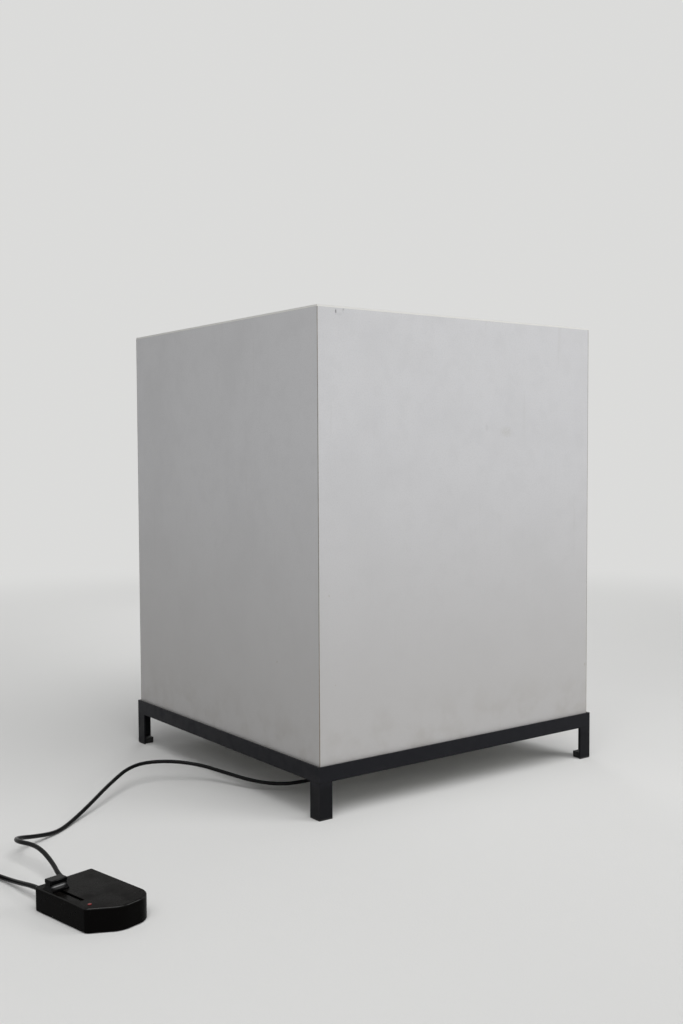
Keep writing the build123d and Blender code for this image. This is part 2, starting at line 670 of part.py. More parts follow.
def slide_pot():
    """The slide potentiometer on the board, with the channel that the knob's stem runs in."""
    body = block(slot_x0 - POT_END, slot_x1 + POT_END, SLOT_Y - POT_WIDTH / 2, SLOT_Y + POT_WIDTH / 2,
                 board_top, pot_top)
    half = STEM_Y / 2 + POT_FIT
    return body - block(slot_x0 - SLOT_END_GAP, slot_x1 + SLOT_END_GAP, SLOT_Y - half, SLOT_Y + half,
                        stem_bottom - POT_FIT, pot_top + 1)


def slider_knob():
    """The foot-operated slider: a rounded bar on a waisted body that sweeps out to a sole, and a stem."""
    z0 = DIMMER_HEIGHT + KNOB_FLOAT
    z1 = z0 + KNOB_SOLE
    z2 = z0 + KNOB_HEIGHT
    bar = z2 - KNOB_BAR
    x = KNOB_REST_X
    foot_half, waist, top = KNOB_FOOT / 2, KNOB_WAIST / 2, KNOB_TOP / 2
    eighth = 1 - math.sqrt(0.5)
    sweep = (waist + (foot_half - waist) * eighth, z1 + (bar - z1) * eighth)
    outline = Wire([
        Line((x - foot_half, z0), (x + foot_half, z0)),
        Line((x + foot_half, z0), (x + foot_half, z1)),
        ThreePointArc((x + foot_half, z1), (x + sweep[0], sweep[1]), (x + waist, bar)),
        Line((x + waist, bar), (x + top, bar)),
        Line((x + top, bar), (x + top, z2)),
        Line((x + top, z2), (x - top, z2)),
        Line((x - top, z2), (x - top, bar)),
        Line((x - top, bar), (x - waist, bar)),
        ThreePointArc((x - waist, bar), (x - sweep[0], sweep[1]), (x - foot_half, z1)),
        Line((x - foot_half, z1), (x - foot_half, z0)),
    ])
    side = Plane(origin=(0, SLOT_Y + KNOB_WIDTH / 2, 0), x_dir=(1, 0, 0), z_dir=(0, -1, 0))
    knob = extrude(side * make_face(outline), KNOB_WIDTH)
    knob = fillet([edge for edge in knob.edges().filter_by(Axis.Z) if edge.center().Z > bar], KNOB_ENDS)
    knob = fillet(knob.faces().sort_by(Axis.Z)[-1].edges(), KNOB_EDGE)
    stem = block(x - STEM_X / 2, x + STEM_X / 2, SLOT_Y - STEM_Y / 2, SLOT_Y + STEM_Y / 2, stem_bottom, z0)
    return knob + stem


def triac():
    """The power switch on its upright heat sink."""
    x, y = TRIAC_AT
    length, thick = SINK_SIZE
    fin_thick, fin_depth = SINK_FIN
    switch_width, switch_thick, switch_height = TRIAC_SIZE
    plate = block(x - length / 2, x + length / 2, y - thick / 2, y + thick / 2, board_top, part_top)
    for fin in range(SINK_FINS):
        start = x + (fin - (SINK_FINS - 1) / 2) * SINK_FIN_PITCH - fin_thick / 2
        plate += block(start, start + fin_thick, y + thick / 2, y + thick / 2 + fin_depth,
                       board_top, part_top)
    return plate + block(x - switch_width / 2, x + switch_width / 2,
                         y - thick / 2 - switch_thick, y - thick / 2, board_top, board_top + switch_height)


def choke():
    """The suppression choke, a wound ring lying on the board."""
    outside, hole, height = CHOKE_SIZE
    ring = rod(*CHOKE_AT, board_top, board_top + height, outside)
    ring -= rod(*CHOKE_AT, board_top - 1, board_top + height + 1, hole)
    return fillet(ring.edges().filter_by(GeomType.CIRCLE), CHOKE_EDGE)


def fuse():
    """The glass fuse in its two clips."""
    x, y = FUSE_AT
    length, width, height = FUSE_CLIP
    glass = Pos(x, y, board_top + height - 1) * Rot(0, 90, 0) * Cylinder(FUSE_D / 2, FUSE_LENGTH)
    for side in (-1, 1):
        glass += Pos(x + side * FUSE_CLIP_SPAN / 2, y, board_top + height / 2) * Box(length, width, height)
    return glass


def dimmer_clamps():
    """The two bars that hold the leads down inside the lower shell."""
    floor = PAD_H + DIMMER_WALL
    gap = lead_r + CORD_FIT
    x0 = CORD_BAR_X
    x1 = CORD_BAR_X + CORD_BAR
    clamps = []
    for y in (lamp_lead_y, mains_lead_y):
        bar = block(x0, x1, y - gap - CORD_BAR, y + gap + CORD_BAR, floor, lead_z + gap + CORD_BAR_TOP)
        clamps.append(bar - block(x0 - 1, x1 + 1, y - gap, y + gap, lead_z - gap, lead_z + gap))
    return group(clamps)


def dimmer_relief(y):
    """The moulded relief of one lead: taper outside, flange inside, and the lead's end in the clamp."""
    root_r = RELIEF_ROOT_D / 2 - RELIEF_FIT
    taper = relief(RELIEF_LENGTH, 2 * root_r, RELIEF_TIP_D)
    neck = Pos(0, 0, -DIMMER_WALL / 2) * Cylinder(root_r, DIMMER_WALL)
    inner = Pos(0, 0, -DIMMER_WALL - LEAD_STUB / 2) * Cylinder(lead_r, LEAD_STUB)
    return Pos(0, y, lead_z) * Rot(0, -90, 0) * (taper + neck + inner)


def dimmer_screw(x, y):
    """A sunk housing screw, driven from below."""
    seat = PAD_H + SCREW_SINK
    low = PAD_H + SCREW_FLUSH
    screw = rod(x, y, low, seat, DIMMER_SCREW_D * 1.9)
    screw += rod(x, y, seat, DIMMER_SPLIT + SCREW_REACH, DIMMER_SCREW_D - 0.1)
    return screw - cross_slot(x, y, low, DIMMER_SCREW_D * 1.3)


def dimmer_pads():
    """Four rubber pads under the lower shell."""
    spots = ((20.0, 16.0), (20.0, DIMMER_WIDTH - 16.0),
             (DIMMER_SIDE - 16, 10.0), (DIMMER_SIDE - 8, DIMMER_WIDTH - 20.0))
    return group(rod(x, y, 0, PAD_H, PAD_D) for x, y in spots)


def indicator():
    """The red lens of the glow lamp, in its hole in the upper shell."""
    x, y = INDICATOR
    lens = rod(x, y, DIMMER_HEIGHT - DIMMER_WALL - 4, DIMMER_HEIGHT + 0.6, INDICATOR_D - 0.1)
    lens = fillet(lens.faces().sort_by(Axis.Z)[-1].edges(), 0.5)
    return lens + rod(x, y, DIMMER_HEIGHT - DIMMER_WALL - 1.2, DIMMER_HEIGHT - DIMMER_WALL, INDICATOR_D + 2)


save("dimmer_top", dimmer_place * dimmer_top())
save("dimmer_bottom", dimmer_place * dimmer_bottom())
save("dimmer_board", dimmer_place * dimmer_board())
save("dimmer_slide_pot", dimmer_place * slide_pot())
save("dimmer_triac", dimmer_place * triac())
save("dimmer_choke", dimmer_place * choke())
save("dimmer_fuse", dimmer_place * fuse())
save("dimmer_cord_clamps", dimmer_place * dimmer_clamps())
save("dimmer_screws", dimmer_place * group(dimmer_screw(x, y) for x, y in boss_spots))
save("dimmer_pads", dimmer_place * dimmer_pads())
save("dimmer_indicator", dimmer_place * indicator())
save("dimmer_relief_lamp", dimmer_place * dimmer_relief(lamp_lead_y))
save("dimmer_relief_mains", dimmer_place * dimmer_relief(mains_lead_y))
save("slider_knob", dimmer_place * slider_knob())


# ---------------------------------------------------------------- leads
def off_dimmer(y, run):
    """A point straight out of a dimmer relief, one run beyond its tip."""
    place = dimmer_place * Pos(-RELIEF_LENGTH - run, y, lead_z)
    return tuple(place.position)


lamp_route = [
    (*LEAD_EXIT, flange_top - RELIEF_LENGTH), (*LEAD_EXIT, 32), (-224, -177, 23), (-242, -164, 18),
    (-270, -147, 15), (-296, -107, 15), (-315, -43, 19), (-341, 3, 28), (-388, 36, 35), (-445, 47, 35),
    (-515, -10, 25), (-565, -52, 14), (-606, -83, 6), (-644, -114, 4), (-687, -137, 12),
    (-724, -158, 22), (-734, -189, 28), (-723, -220, 30), (-720, -250, 28), (-721, -287, 21),
    off_dimmer(lamp_lead_y, 18), off_dimmer(lamp_lead_y, 0),
]
save("lamp_lead", tube("lamp lead", lamp_route, LEAD_D))

# the coil: radius and height of its centre line against the angle turned
layer_turns = COIL_TURNS / COIL_LAYERS
coil_outer_r = COIL_MEAN_R + layer_turns * COIL_PITCH / 2
coil_base_z = lead_r + TIE_THICK + 2 * TIE_FIT


def coil_point(turned_by):
    """A point of the coil's centre line after so many turns, spiralling in and out layer by layer."""
    layer = min(int(turned_by / layer_turns), COIL_LAYERS - 1)
    within = turned_by - layer * layer_turns
    inward = within if layer % 2 == 0 else layer_turns - within
    radius = coil_outer_r - inward * COIL_PITCH
    climbed = 0.0
    for change in range(1, COIL_LAYERS):
        start = change * layer_turns - 0.25
        climbed += min(max((turned_by - start) / 0.5, 0.0), 1.0)
    angle = math.radians(COIL_START) + turned_by * 2 * math.pi
    return Vector(COIL_CENTRE[0] + radius * math.cos(angle), COIL_CENTRE[1] + radius * math.sin(angle),
                  coil_base_z + climbed * COIL_PITCH)


def coil_tangent(turned_by):
    """The even direction of the centre line there, level at both ends."""
    reach = 0.02
    if turned_by < reach or turned_by > COIL_TURNS - reach:
        angle = math.radians(COIL_START + 90) + turned_by * 2 * math.pi
        return Vector(math.cos(angle), math.sin(angle), 0)
    return (coil_point(turned_by + reach) - coil_point(turned_by - reach)).normalized()


def biarc(p0, t0, p1, t1):
    """Two arcs that leave p0 along t0 and reach p1 along t1."""
    across = p1 - p0
    both = t0 + t1
    spread = 2 * (1 - t0.dot(t1))
    reach = (-across.dot(both) + math.sqrt(across.dot(both) ** 2 + spread * across.dot(across))) / spread
    middle = (p0 + p1 + (t0 - t1) * reach) / 2
    first = Edge.make_tangent_arc(p0, t0, middle)
    return [first, Edge.make_tangent_arc(middle, first.tangent_at(1), p1)]


def coil():
    """The put-away coil as one unbroken tube, straight for one diameter at each end."""
    steps = int(COIL_TURNS * 4)
    knots = [COIL_TURNS * step / steps for step in range(steps + 1)]
    points = [coil_point(knot) for knot in knots]
    tangents = [coil_tangent(knot) for knot in knots]
    start = points[0] - tangents[0] * LEAD_D
    end = points[-1] + tangents[-1] * LEAD_D
    edges = [Edge.make_line(start, points[0])]
    for here, after in zip(range(steps), range(1, steps + 1)):
        edges += biarc(points[here], tangents[here], points[after], tangents[after])
    edges.append(Edge.make_line(points[-1], end))
    path = Wire(edges)
    solid = sweep(Plane(origin=start, z_dir=tangents[0]) * Circle(lead_r), path=path)
    samples = [path.position_at(i / 1500) for i in range(1501)]
    spacing = path.length / 1500
    skip = int(3 * LEAD_D / spacing)
    least = min((samples[i] - samples[j]).length for i in range(0, 1501, 2) for j in range(i + skip, 1501))
    print(f"coil: length {path.length:.1f}, least gap to itself {least - LEAD_D:.2f},",
          f"volume / (section x length) {solid.volume / (math.pi * lead_r ** 2 * path.length):.4f}")
    return solid, start, tangents[0], end, tangents[-1]


coil_solid, coil_in, coil_in_way, coil_out, coil_out_way = coil()
save("mains_lead_coil", coil_solid)

mains_route = [
    off_dimmer(mains_lead_y, 0), off_dimmer(mains_lead_y, 17), (-768.5, -304, 11.5), (-771, -279, 7.5),
    (-775.5, -253, 5.2),
    tuple(coil_in - coil_in_way * 21), tuple(coil_in),
]
save("mains_lead", tube("mains lead", mains_route, LEAD_D))

plug_axis_z = PLUG_FACE_D / 2 + PLUG_FLOOR_GAP
plug_way = Vector(-0.1, -1, 0).normalized()
plug_back = Vector(-860, -300, plug_axis_z)
tail_route = [
    tuple(coil_out), tuple(coil_out + coil_out_way * 18), (-859.5, -263, 22.8),
    tuple(plug_back - plug_way * 18), tuple(plug_back),
]
save("mains_lead_tail", tube("mains lead tail", tail_route, LEAD_D))


def coil_tie():
    """The strap that holds the coil, round all its turns."""
    inner_r = coil_outer_r - layer_turns * COIL_PITCH - lead_r
    sagitta = TIE_WIDTH ** 2 / (8 * inner_r)
    low_r = inner_r - sagitta - TIE_FIT
    high_r = coil_outer_r + lead_r + TIE_FIT
    low_z = TIE_THICK + TIE_FIT
    high_z = coil_base_z + (COIL_LAYERS - 1) * COIL_PITCH + lead_r + TIE_FIT
    window = RectangleRounded(high_r - low_r, high_z - low_z, 3)
    band = RectangleRounded(high_r - low_r + 2 * TIE_THICK, high_z - low_z + 2 * TIE_THICK, 3 + TIE_THICK)
    ring = extrude(Plane.XZ * (band - window), TIE_WIDTH / 2, both=True)
    ring = Pos((low_r + high_r) / 2, 0, (low_z + high_z) / 2) * ring
    return Pos(*COIL_CENTRE, 0) * Rot(0, 0, TIE_BEARING) * ring


save("coil_tie", coil_tie())


# ---------------------------------------------------------------- plug
plug_place = Plane(origin=plug_back, x_dir=(0, 0, 1), z_dir=plug_way)


def plug_body():
    """A moulded two-pin plug with side earth contacts, its relief first, pointing along its own Z."""
    neck = relief(PLUG_RELIEF, LEAD_D + 1.6, PLUG_NECK_D - 1)
    shoulder = PLUG_RELIEF
    grip_end = shoulder + PLUG_GRIP_LENGTH
    face_z = grip_end + PLUG_FACE_LENGTH
    face_r = PLUG_FACE_D / 2
    grip_r = PLUG_GRIP_D / 2
    outline = [(0, shoulder), (PLUG_NECK_D / 2, shoulder),
               (grip_r - PLUG_SHOULDER[0], shoulder + PLUG_SHOULDER[1]), (grip_r, shoulder + PLUG_BELLY),
               (grip_r - PLUG_WAIST[0], grip_end - PLUG_WAIST[1]), (face_r - PLUG_EDGE, grip_end),
               (face_r, grip_end + PLUG_EDGE), (face_r, face_z - PLUG_EDGE),
               (face_r - PLUG_EDGE, face_z), (0, face_z)]
    body = turned(outline)
    for side in (-1, 1):
        x = side * face_r
        body -= Pos(x, 0, face_z - 8) * Box(2 * EARTH_STRIP[1] + 2, EARTH_STRIP[0] + 1, 20)
        y = side * face_r
        body -= Pos(0, y, face_z - PLUG_KEY[2] / 2 + 1) * Box(*PLUG_KEY)
    return neck + body


def plug_contacts():
    """Two round pins and two side earth strips."""
    face_z = PLUG_RELIEF + PLUG_GRIP_LENGTH + PLUG_FACE_LENGTH
    pieces = []
    for side in (-1, 1):
        pin = Pos(0, side * PIN_SPACING / 2, face_z + PIN_LENGTH / 2) * Cylinder(PIN_D / 2, PIN_LENGTH)
        pieces.append(fillet(pin.faces().sort_by(Axis.Z)[-1].edges(), PIN_D / 2 - 0.6))
        seat = PLUG_FACE_D / 2 - EARTH_STRIP[1] - 1
        strip = Box(EARTH_STRIP[1], EARTH_STRIP[0], 19.6)
        pieces.append(Pos(side * (seat + EARTH_STRIP[1] / 2), 0, face_z - 8) * strip)
    return group(pieces)


save("plug_body", plug_place * plug_body())
save("plug_contacts", plug_place * plug_contacts())
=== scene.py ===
"""Looks of a tall opal box lamp on a dark angle frame, with its foot dimmer and leads.

Everything is in metres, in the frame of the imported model: X to the right along the front of the lamp,
Y away from it, Z up, with the origin on the floor under the middle of the frame. Colours are written as
they look on screen.
"""
import math

import bmesh
import bpy
from bpy.props import FloatProperty, FloatVectorProperty, PointerProperty
from mathutils import Matrix, Vector


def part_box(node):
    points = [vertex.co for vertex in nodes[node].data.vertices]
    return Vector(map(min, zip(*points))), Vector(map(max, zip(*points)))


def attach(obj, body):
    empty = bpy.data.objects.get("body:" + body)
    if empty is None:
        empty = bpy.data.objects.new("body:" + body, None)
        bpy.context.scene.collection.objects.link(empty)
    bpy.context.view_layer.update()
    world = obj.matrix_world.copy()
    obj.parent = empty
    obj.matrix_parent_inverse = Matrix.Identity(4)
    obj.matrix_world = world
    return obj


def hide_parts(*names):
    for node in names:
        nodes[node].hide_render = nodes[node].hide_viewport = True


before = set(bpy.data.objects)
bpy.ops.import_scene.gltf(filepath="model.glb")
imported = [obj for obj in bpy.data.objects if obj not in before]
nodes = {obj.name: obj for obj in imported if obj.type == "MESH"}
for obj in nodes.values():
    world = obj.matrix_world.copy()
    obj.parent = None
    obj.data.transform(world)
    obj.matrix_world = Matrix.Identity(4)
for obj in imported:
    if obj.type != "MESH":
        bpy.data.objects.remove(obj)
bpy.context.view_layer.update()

bl_info = {
    "name": "Opal box lamp",
    "version": (1, 0, 0),
    "blender": (4, 5, 0),
    "location": "View3D > Sidebar > Box lamp",
    "description": "Finishes, leads and studio for an opal box floor lamp on an angle frame",
    "category": "Object",
}

SIDES = ("front", "right", "back", "left")
CORNERS = ("front_left", "front_right", "back_right", "back_left")
BULBS = range(1, 5)

# The lamp lead's route from the tray's relief to the last point before the dimmer.
LAMP_ROUTE = (
    (-0.216, -0.182, 0.041), (-0.216, -0.182, 0.032), (-0.224, -0.177, 0.023), (-0.242, -0.164, 0.018),
    (-0.270, -0.147, 0.015), (-0.296, -0.107, 0.015), (-0.315, -0.043, 0.019), (-0.341, 0.003, 0.028),
    (-0.388, 0.036, 0.035), (-0.445, 0.047, 0.035), (-0.515, -0.010, 0.025), (-0.565, -0.052, 0.014),
    (-0.606, -0.083, 0.005), (-0.644, -0.114, 0.002), (-0.687, -0.137, 0.011), (-0.724, -0.158, 0.022),
    (-0.734, -0.189, 0.028), (-0.723, -0.220, 0.030), (-0.720, -0.250, 0.028), (-0.721, -0.287, 0.021),
)
# The mains lead's route between the dimmer's relief and the coil, and its bend before the plug.
MAINS_ROUTE = ((-0.7685, -0.304, 0.0115), (-0.771, -0.279, 0.0075), (-0.7755, -0.253, 0.0052))
PLUG_BEND = (-0.8595, -0.263, 0.0228)
# Straight runs of the leads: out of the dimmer's two reliefs, into and out of the coil, and into the plug.
LAMP_LEAD_RUN = 0.018
MAINS_LEAD_RUN = 0.017
COIL_RUN_IN = 0.021
COIL_RUN_OUT = 0.018
PLUG_RUN = 0.018

# The dimmer's place on the floor, and where its leads leave it.
DIMMER_CORNER = Vector((-0.7791, -0.3689, 0.0))
DIMMER_HEADING = math.radians(-78.5)
RELIEF_LENGTH = 0.020
LAMP_LEAD_Y = 0.062
MAINS_LEAD_Y = 0.022
DIMMER_LEAD_Z = 0.015

# The coil: its middle on the floor, and the turns, layers and spacing of its centre line.
COIL_CENTRE = Vector((-0.830, -0.212, 0.0))
COIL_START = math.radians(16.0)
COIL_TURNS = 7.5
COIL_LAYERS = 4
COIL_MEAN_R = 0.0345
COIL_PITCH = 0.007
COIL_BASE_Z = 0.0047
COIL_STEPS = 20                 # points in one turn
COIL_CLIMB = 0.5                # turns taken by the climb to the next layer
LAYER_TURNS = COIL_TURNS / COIL_LAYERS
COIL_OUTER_R = COIL_MEAN_R + LAYER_TURNS * COIL_PITCH / 2

# The plug: where the lead enters it, and the way it points.
PLUG_BACK = Vector((-0.860, -0.300, 0.01895))
PLUG_WAY = Vector((-0.1, -1.0, 0.0)).normalized()

# The tie: where it goes round the coil, its strap, and the round corners of its loop.
TIE_BEARING = math.radians(100.0)
TIE_THICKNESS = 0.0010
TIE_GAP = 0.0003                # between the strap and the lead
TIE_CORNER_R = 0.0028
TIE_CORNER_STEPS = 4            # pieces of one quarter turn
TIE_LAP = 9                     # points of the loop that its end lies over again
TIE_RISE = 3                    # points in which it climbs onto itself
TIE_LIFT = 1.15                 # how far out it then lies, in thicknesses
TIE_END = 3                     # points in which its end narrows to half its width
TIE_SOFT_EDGE = 0.3             # rounding of its edges, in thicknesses

# Marks of use on the shade: place, half sizes, strength and colour.
SCUFF = (0.36, 0.36, 0.37)
STAIN = (0.60, 0.58, 0.52)
MARKS = (
    ((-0.2656, -0.3, 0.7742), (0.0019, 0.01, 0.0060), 0.95, SCUFF),
    ((-0.2512, -0.3, 0.7765), (0.0024, 0.01, 0.0050), 0.45, SCUFF),
    ((-0.2585, -0.3, 0.7705), (0.0070, 0.01, 0.0030), 0.12, SCUFF),
    ((0.0480, -0.3, 0.6020), (0.0060, 0.01, 0.0080), 0.12, SCUFF),
    ((0.0940, -0.3, 0.5951), (0.0200, 0.01, 0.0120), 0.20, STAIN),
    ((0.2950, -0.3, 0.1728), (0.0030, 0.01, 0.0045), 0.50, STAIN),
    ((-0.2810, -0.3, 0.3432), (0.0026, 0.01, 0.0028), 0.45, STAIN),
    ((-0.2700, -0.3, 0.2050), (0.0024, 0.01, 0.0024), 0.45, STAIN),
    ((-0.3, -0.1832, 0.2272), (0.01, 0.0032, 0.0032), 0.45, STAIN),
)
# Towards the foot of the shade: heights where each kind begins and is full (painted shade on the sheet, grime
# on the sheet, ageing of the bond lines), and the sheet's share of its colour in the painted shade.
PAINTED_SHADE_HEIGHTS = (0.62, 0.08)
GRIME_HEIGHTS = (0.20, 0.07)
BOND_AGED_HEIGHTS = (0.35, 0.10)
PAINTED_SHADE_SHARE = (0.890, 0.882, 0.868)

# Distances from the rails' lower edge: those in which the dark line of a leg's joint comes up, and those
# in which painted shade darkens the leg below.
LEG_JOINT = (0.0015, 0.0007)
LEG_PAINTED_SHADE = (0.0, 0.012)

# A bulb's plated cap: its height, and half the width of its upper border.
CAP_HEIGHT = 0.027
CAP_BORDER = 0.0002
# Dust on the white pieces under the shade.
PALE_DUST = (0.66, 0.64, 0.60)

# The slider's polish: how far it reaches from its middle, how much of that is full, and how deep the
# middle is below the top.
POLISH_REACH = 0.0125
POLISH_CORE = 0.6
POLISH_DEPTH = 0.008

# The floor: its radius, and the distances in which it fades into the backdrop.
FLOOR_RADIUS = 14.0
FLOOR_FADE = (1.3, 3.6)
# The broad light from above, and the softboxes: name, side, place and target.
SUN_PLACE = (-0.1, -1.0, 2.2)
SUN_WIDTH = math.radians(50)
SOFTBOXES = (
    ("key", 0.9, (1.0, -1.65, 1.2), (0.0, -0.3, 0.5)),
    ("fill", 0.7, (-1.35, -0.95, 1.15), (-0.3, -0.3, 0.45)),
    ("back", 0.9, (1.2, 1.9, 1.3), (0.1, 0.3, 0.4)),
)
WHITE = (1.0, 1.0, 1.0, 1.0)
SENSOR_SIDE = 36.0              # long side of the camera's sensor, in millimetres
VIEW_REACH = 60.0               # how far the camera sees


# ---------------------------------------------------------------- colours
def rgb(colour):
    """A colour picked as it looks on screen, as the linear colour that shaders take."""
    linear = (c / 12.92 if c <= 0.04045 else ((c + 0.055) / 1.055) ** 2.4 for c in colour)
    return (*linear, 1.0)


def darker(colour, factor):
    """A colour times a factor."""
    return [c * factor for c in colour]


def paler(colour, step):
    """A colour with a step added to each channel."""
    return [c + step for c in colour]


# ---------------------------------------------------------------- shader nodes
def node(tree, kind, **values):
    """A new shader node with its plain settings."""
    made = tree.nodes.new(kind)
    for name, value in values.items():
        setattr(made, name, value)
    return made


def feed(tree, socket, value):
    """Sets a socket to a constant, or links another socket to it."""
    if isinstance(value, bpy.types.NodeSocket):
        tree.links.new(value, socket)
    else:
        socket.default_value = value


def maths(tree, operation, a, b=None, clamp=False):
    """A Math node's result; a and b are sockets or numbers."""
    made = node(tree, "ShaderNodeMath", operation=operation, use_clamp=clamp)
    feed(tree, made.inputs[0], a)
    if b is not None:
        feed(tree, made.inputs[1], b)
    return made.outputs[0]


def product(tree, a, b, clamp=False):
    """One mask or number times another."""
    return maths(tree, "MULTIPLY", a, b, clamp)


def own_place(tree):
    """The object's own coordinates, which are the lamp's at rest."""
    return node(tree, "ShaderNodeTexCoord").outputs["Object"]


def own_normal(tree):
    """The way that the surface faces."""
    return node(tree, "ShaderNodeNewGeometry").outputs["Normal"]


def component(tree, vector, letter):
    """One component of a vector."""
    split = node(tree, "ShaderNodeSeparateXYZ")
    tree.links.new(vector, split.inputs[0])
    return split.outputs[letter]


def length(tree, vector):
    """How long a vector is."""
    made = node(tree, "ShaderNodeVectorMath", operation="LENGTH")
    tree.links.new(vector, made.inputs[0])
    return made.outputs["Value"]


def noise(tree, scale, detail=3.0, roughness=0.55, stretch=None):
    """Noise over the object's own coordinates, in features per metre."""
    place = own_place(tree)
    if stretch:
        mapping = node(tree, "ShaderNodeMapping")
        mapping.inputs["Scale"].default_value = stretch
        tree.links.new(place, mapping.inputs["Vector"])
        place = mapping.outputs["Vector"]
    made = node(tree, "ShaderNodeTexNoise")
    tree.links.new(place, made.inputs["Vector"])
    made.inputs["Detail"].default_value = detail
    made.inputs["Roughness"].default_value = roughness
    feed(tree, made.inputs["Scale"], scale)
    return made.outputs["Fac"]


def ramp(tree, value, low, high):
    """Stretches low..high of a value smoothly to 0..1."""
    made = node(tree, "ShaderNodeMapRange", interpolation_type="SMOOTHSTEP")
    tree.links.new(value, made.inputs["Value"])
    feed(tree, made.inputs["From Min"], low)
    feed(tree, made.inputs["From Max"], high)
    return made.outputs["Result"]


def seen_rays(tree):
    """1 for the rays that show the backdrop: the camera's, reflected ones and those through glass."""
    path = node(tree, "ShaderNodeLightPath")
    seen = maths(tree, "MAXIMUM", path.outputs["Is Camera Ray"], path.outputs["Is Glossy Ray"])
    return maths(tree, "MAXIMUM", seen, path.outputs["Is Transmission Ray"])


def mix_surface(tree, output, share, first, second):
    """Ends a tree in two shaders, the second as far as the share goes."""
    mix = node(tree, "ShaderNodeMixShader")
    tree.links.new(share, mix.inputs["Fac"])
    tree.links.new(first, mix.inputs[1])
    tree.links.new(second, mix.inputs[2])
    tree.links.new(mix.outputs["Shader"], tree.nodes[output].inputs["Surface"])


# ---------------------------------------------------------------- shared effects
def group_tree(name, inputs, outputs):
    """A new node group, the sockets that it is given with their defaults, and those of its result."""
    tree = bpy.data.node_groups.new(name, "ShaderNodeTree")
    for label, default in inputs.items():
        socket = tree.interface.new_socket(name=label, in_out="INPUT", socket_type="NodeSocketFloat")
        socket.default_value = default
    for label in outputs:
        tree.interface.new_socket(name=label, in_out="OUTPUT", socket_type="NodeSocketFloat")
    return tree, tree.nodes.new("NodeGroupInput").outputs, tree.nodes.new("NodeGroupOutput").inputs


def make_cloud_group(name):
    """Soft patches, for mottling, grime and stains."""
    tree, given, result = group_tree(name, {"Scale": 8.0, "Low": 0.4, "High": 0.7, "Amount": 1.0}, ["Mask"])
    patches = ramp(tree, noise(tree, given["Scale"], 5.0), given["Low"], given["High"])
    tree.links.new(product(tree, patches, given["Amount"]), result["Mask"])
    return tree


def make_grain_group(name):
    """Fine surface grain, as a height and as a mask."""
    tree, given, result = group_tree(name, {"Scale": 900.0}, ["Height", "Mask"])
    fine = noise(tree, given["Scale"], 2.0, 0.6)
    tree.links.new(fine, result["Height"])
    tree.links.new(ramp(tree, fine, 0.45, 0.65), result["Mask"])
    return tree


def make_wear_group(name):
    """A broken line of wear along every sharp edge."""
    tree, given, result = group_tree(name, {"Width": 0.0012, "Scale": 60.0, "Amount": 1.0}, ["Mask"])
    bevel = node(tree, "ShaderNodeBevel", samples=6)
    tree.links.new(given["Width"], bevel.inputs["Radius"])
    facing = node(tree, "ShaderNodeVectorMath", operation="DOT_PRODUCT")
    tree.links.new(bevel.outputs["Normal"], facing.inputs[0])
    tree.links.new(own_normal(tree), facing.inputs[1])
    edge = ramp(tree, maths(tree, "SUBTRACT", 1.0, facing.outputs["Value"]), 0.02, 0.2)
    broken = ramp(tree, noise(tree, given["Scale"], 4.0, 0.7), 0.42, 0.62)
    worn = product(tree, edge, broken)
    tree.links.new(product(tree, worn, given["Amount"], clamp=True), result["Mask"])
    return tree


def make_dust_group(name):
    """Dust that settles on what faces up."""
    tree, given, result = group_tree(name, {"Scale": 40.0, "Amount": 0.5}, ["Mask"])
    up = ramp(tree, component(tree, own_normal(tree), "Z"), 0.35, 1.0)
    patchy = ramp(tree, noise(tree, given["Scale"], 5.0, 0.65), 0.3, 0.75)
    settled = product(tree, up, patchy)
    tree.links.new(product(tree, settled, given["Amount"], clamp=True), result["Mask"])
    return tree


EFFECTS = {"Cloud patches": make_cloud_group, "Fine grain": make_grain_group,
           "Edge wear": make_wear_group, "Settled dust": make_dust_group}


def shared_effect(name):
    """One of the shader node groups, built the first time that it is wanted."""
    return bpy.data.node_groups.get(name) or EFFECTS[name](name)


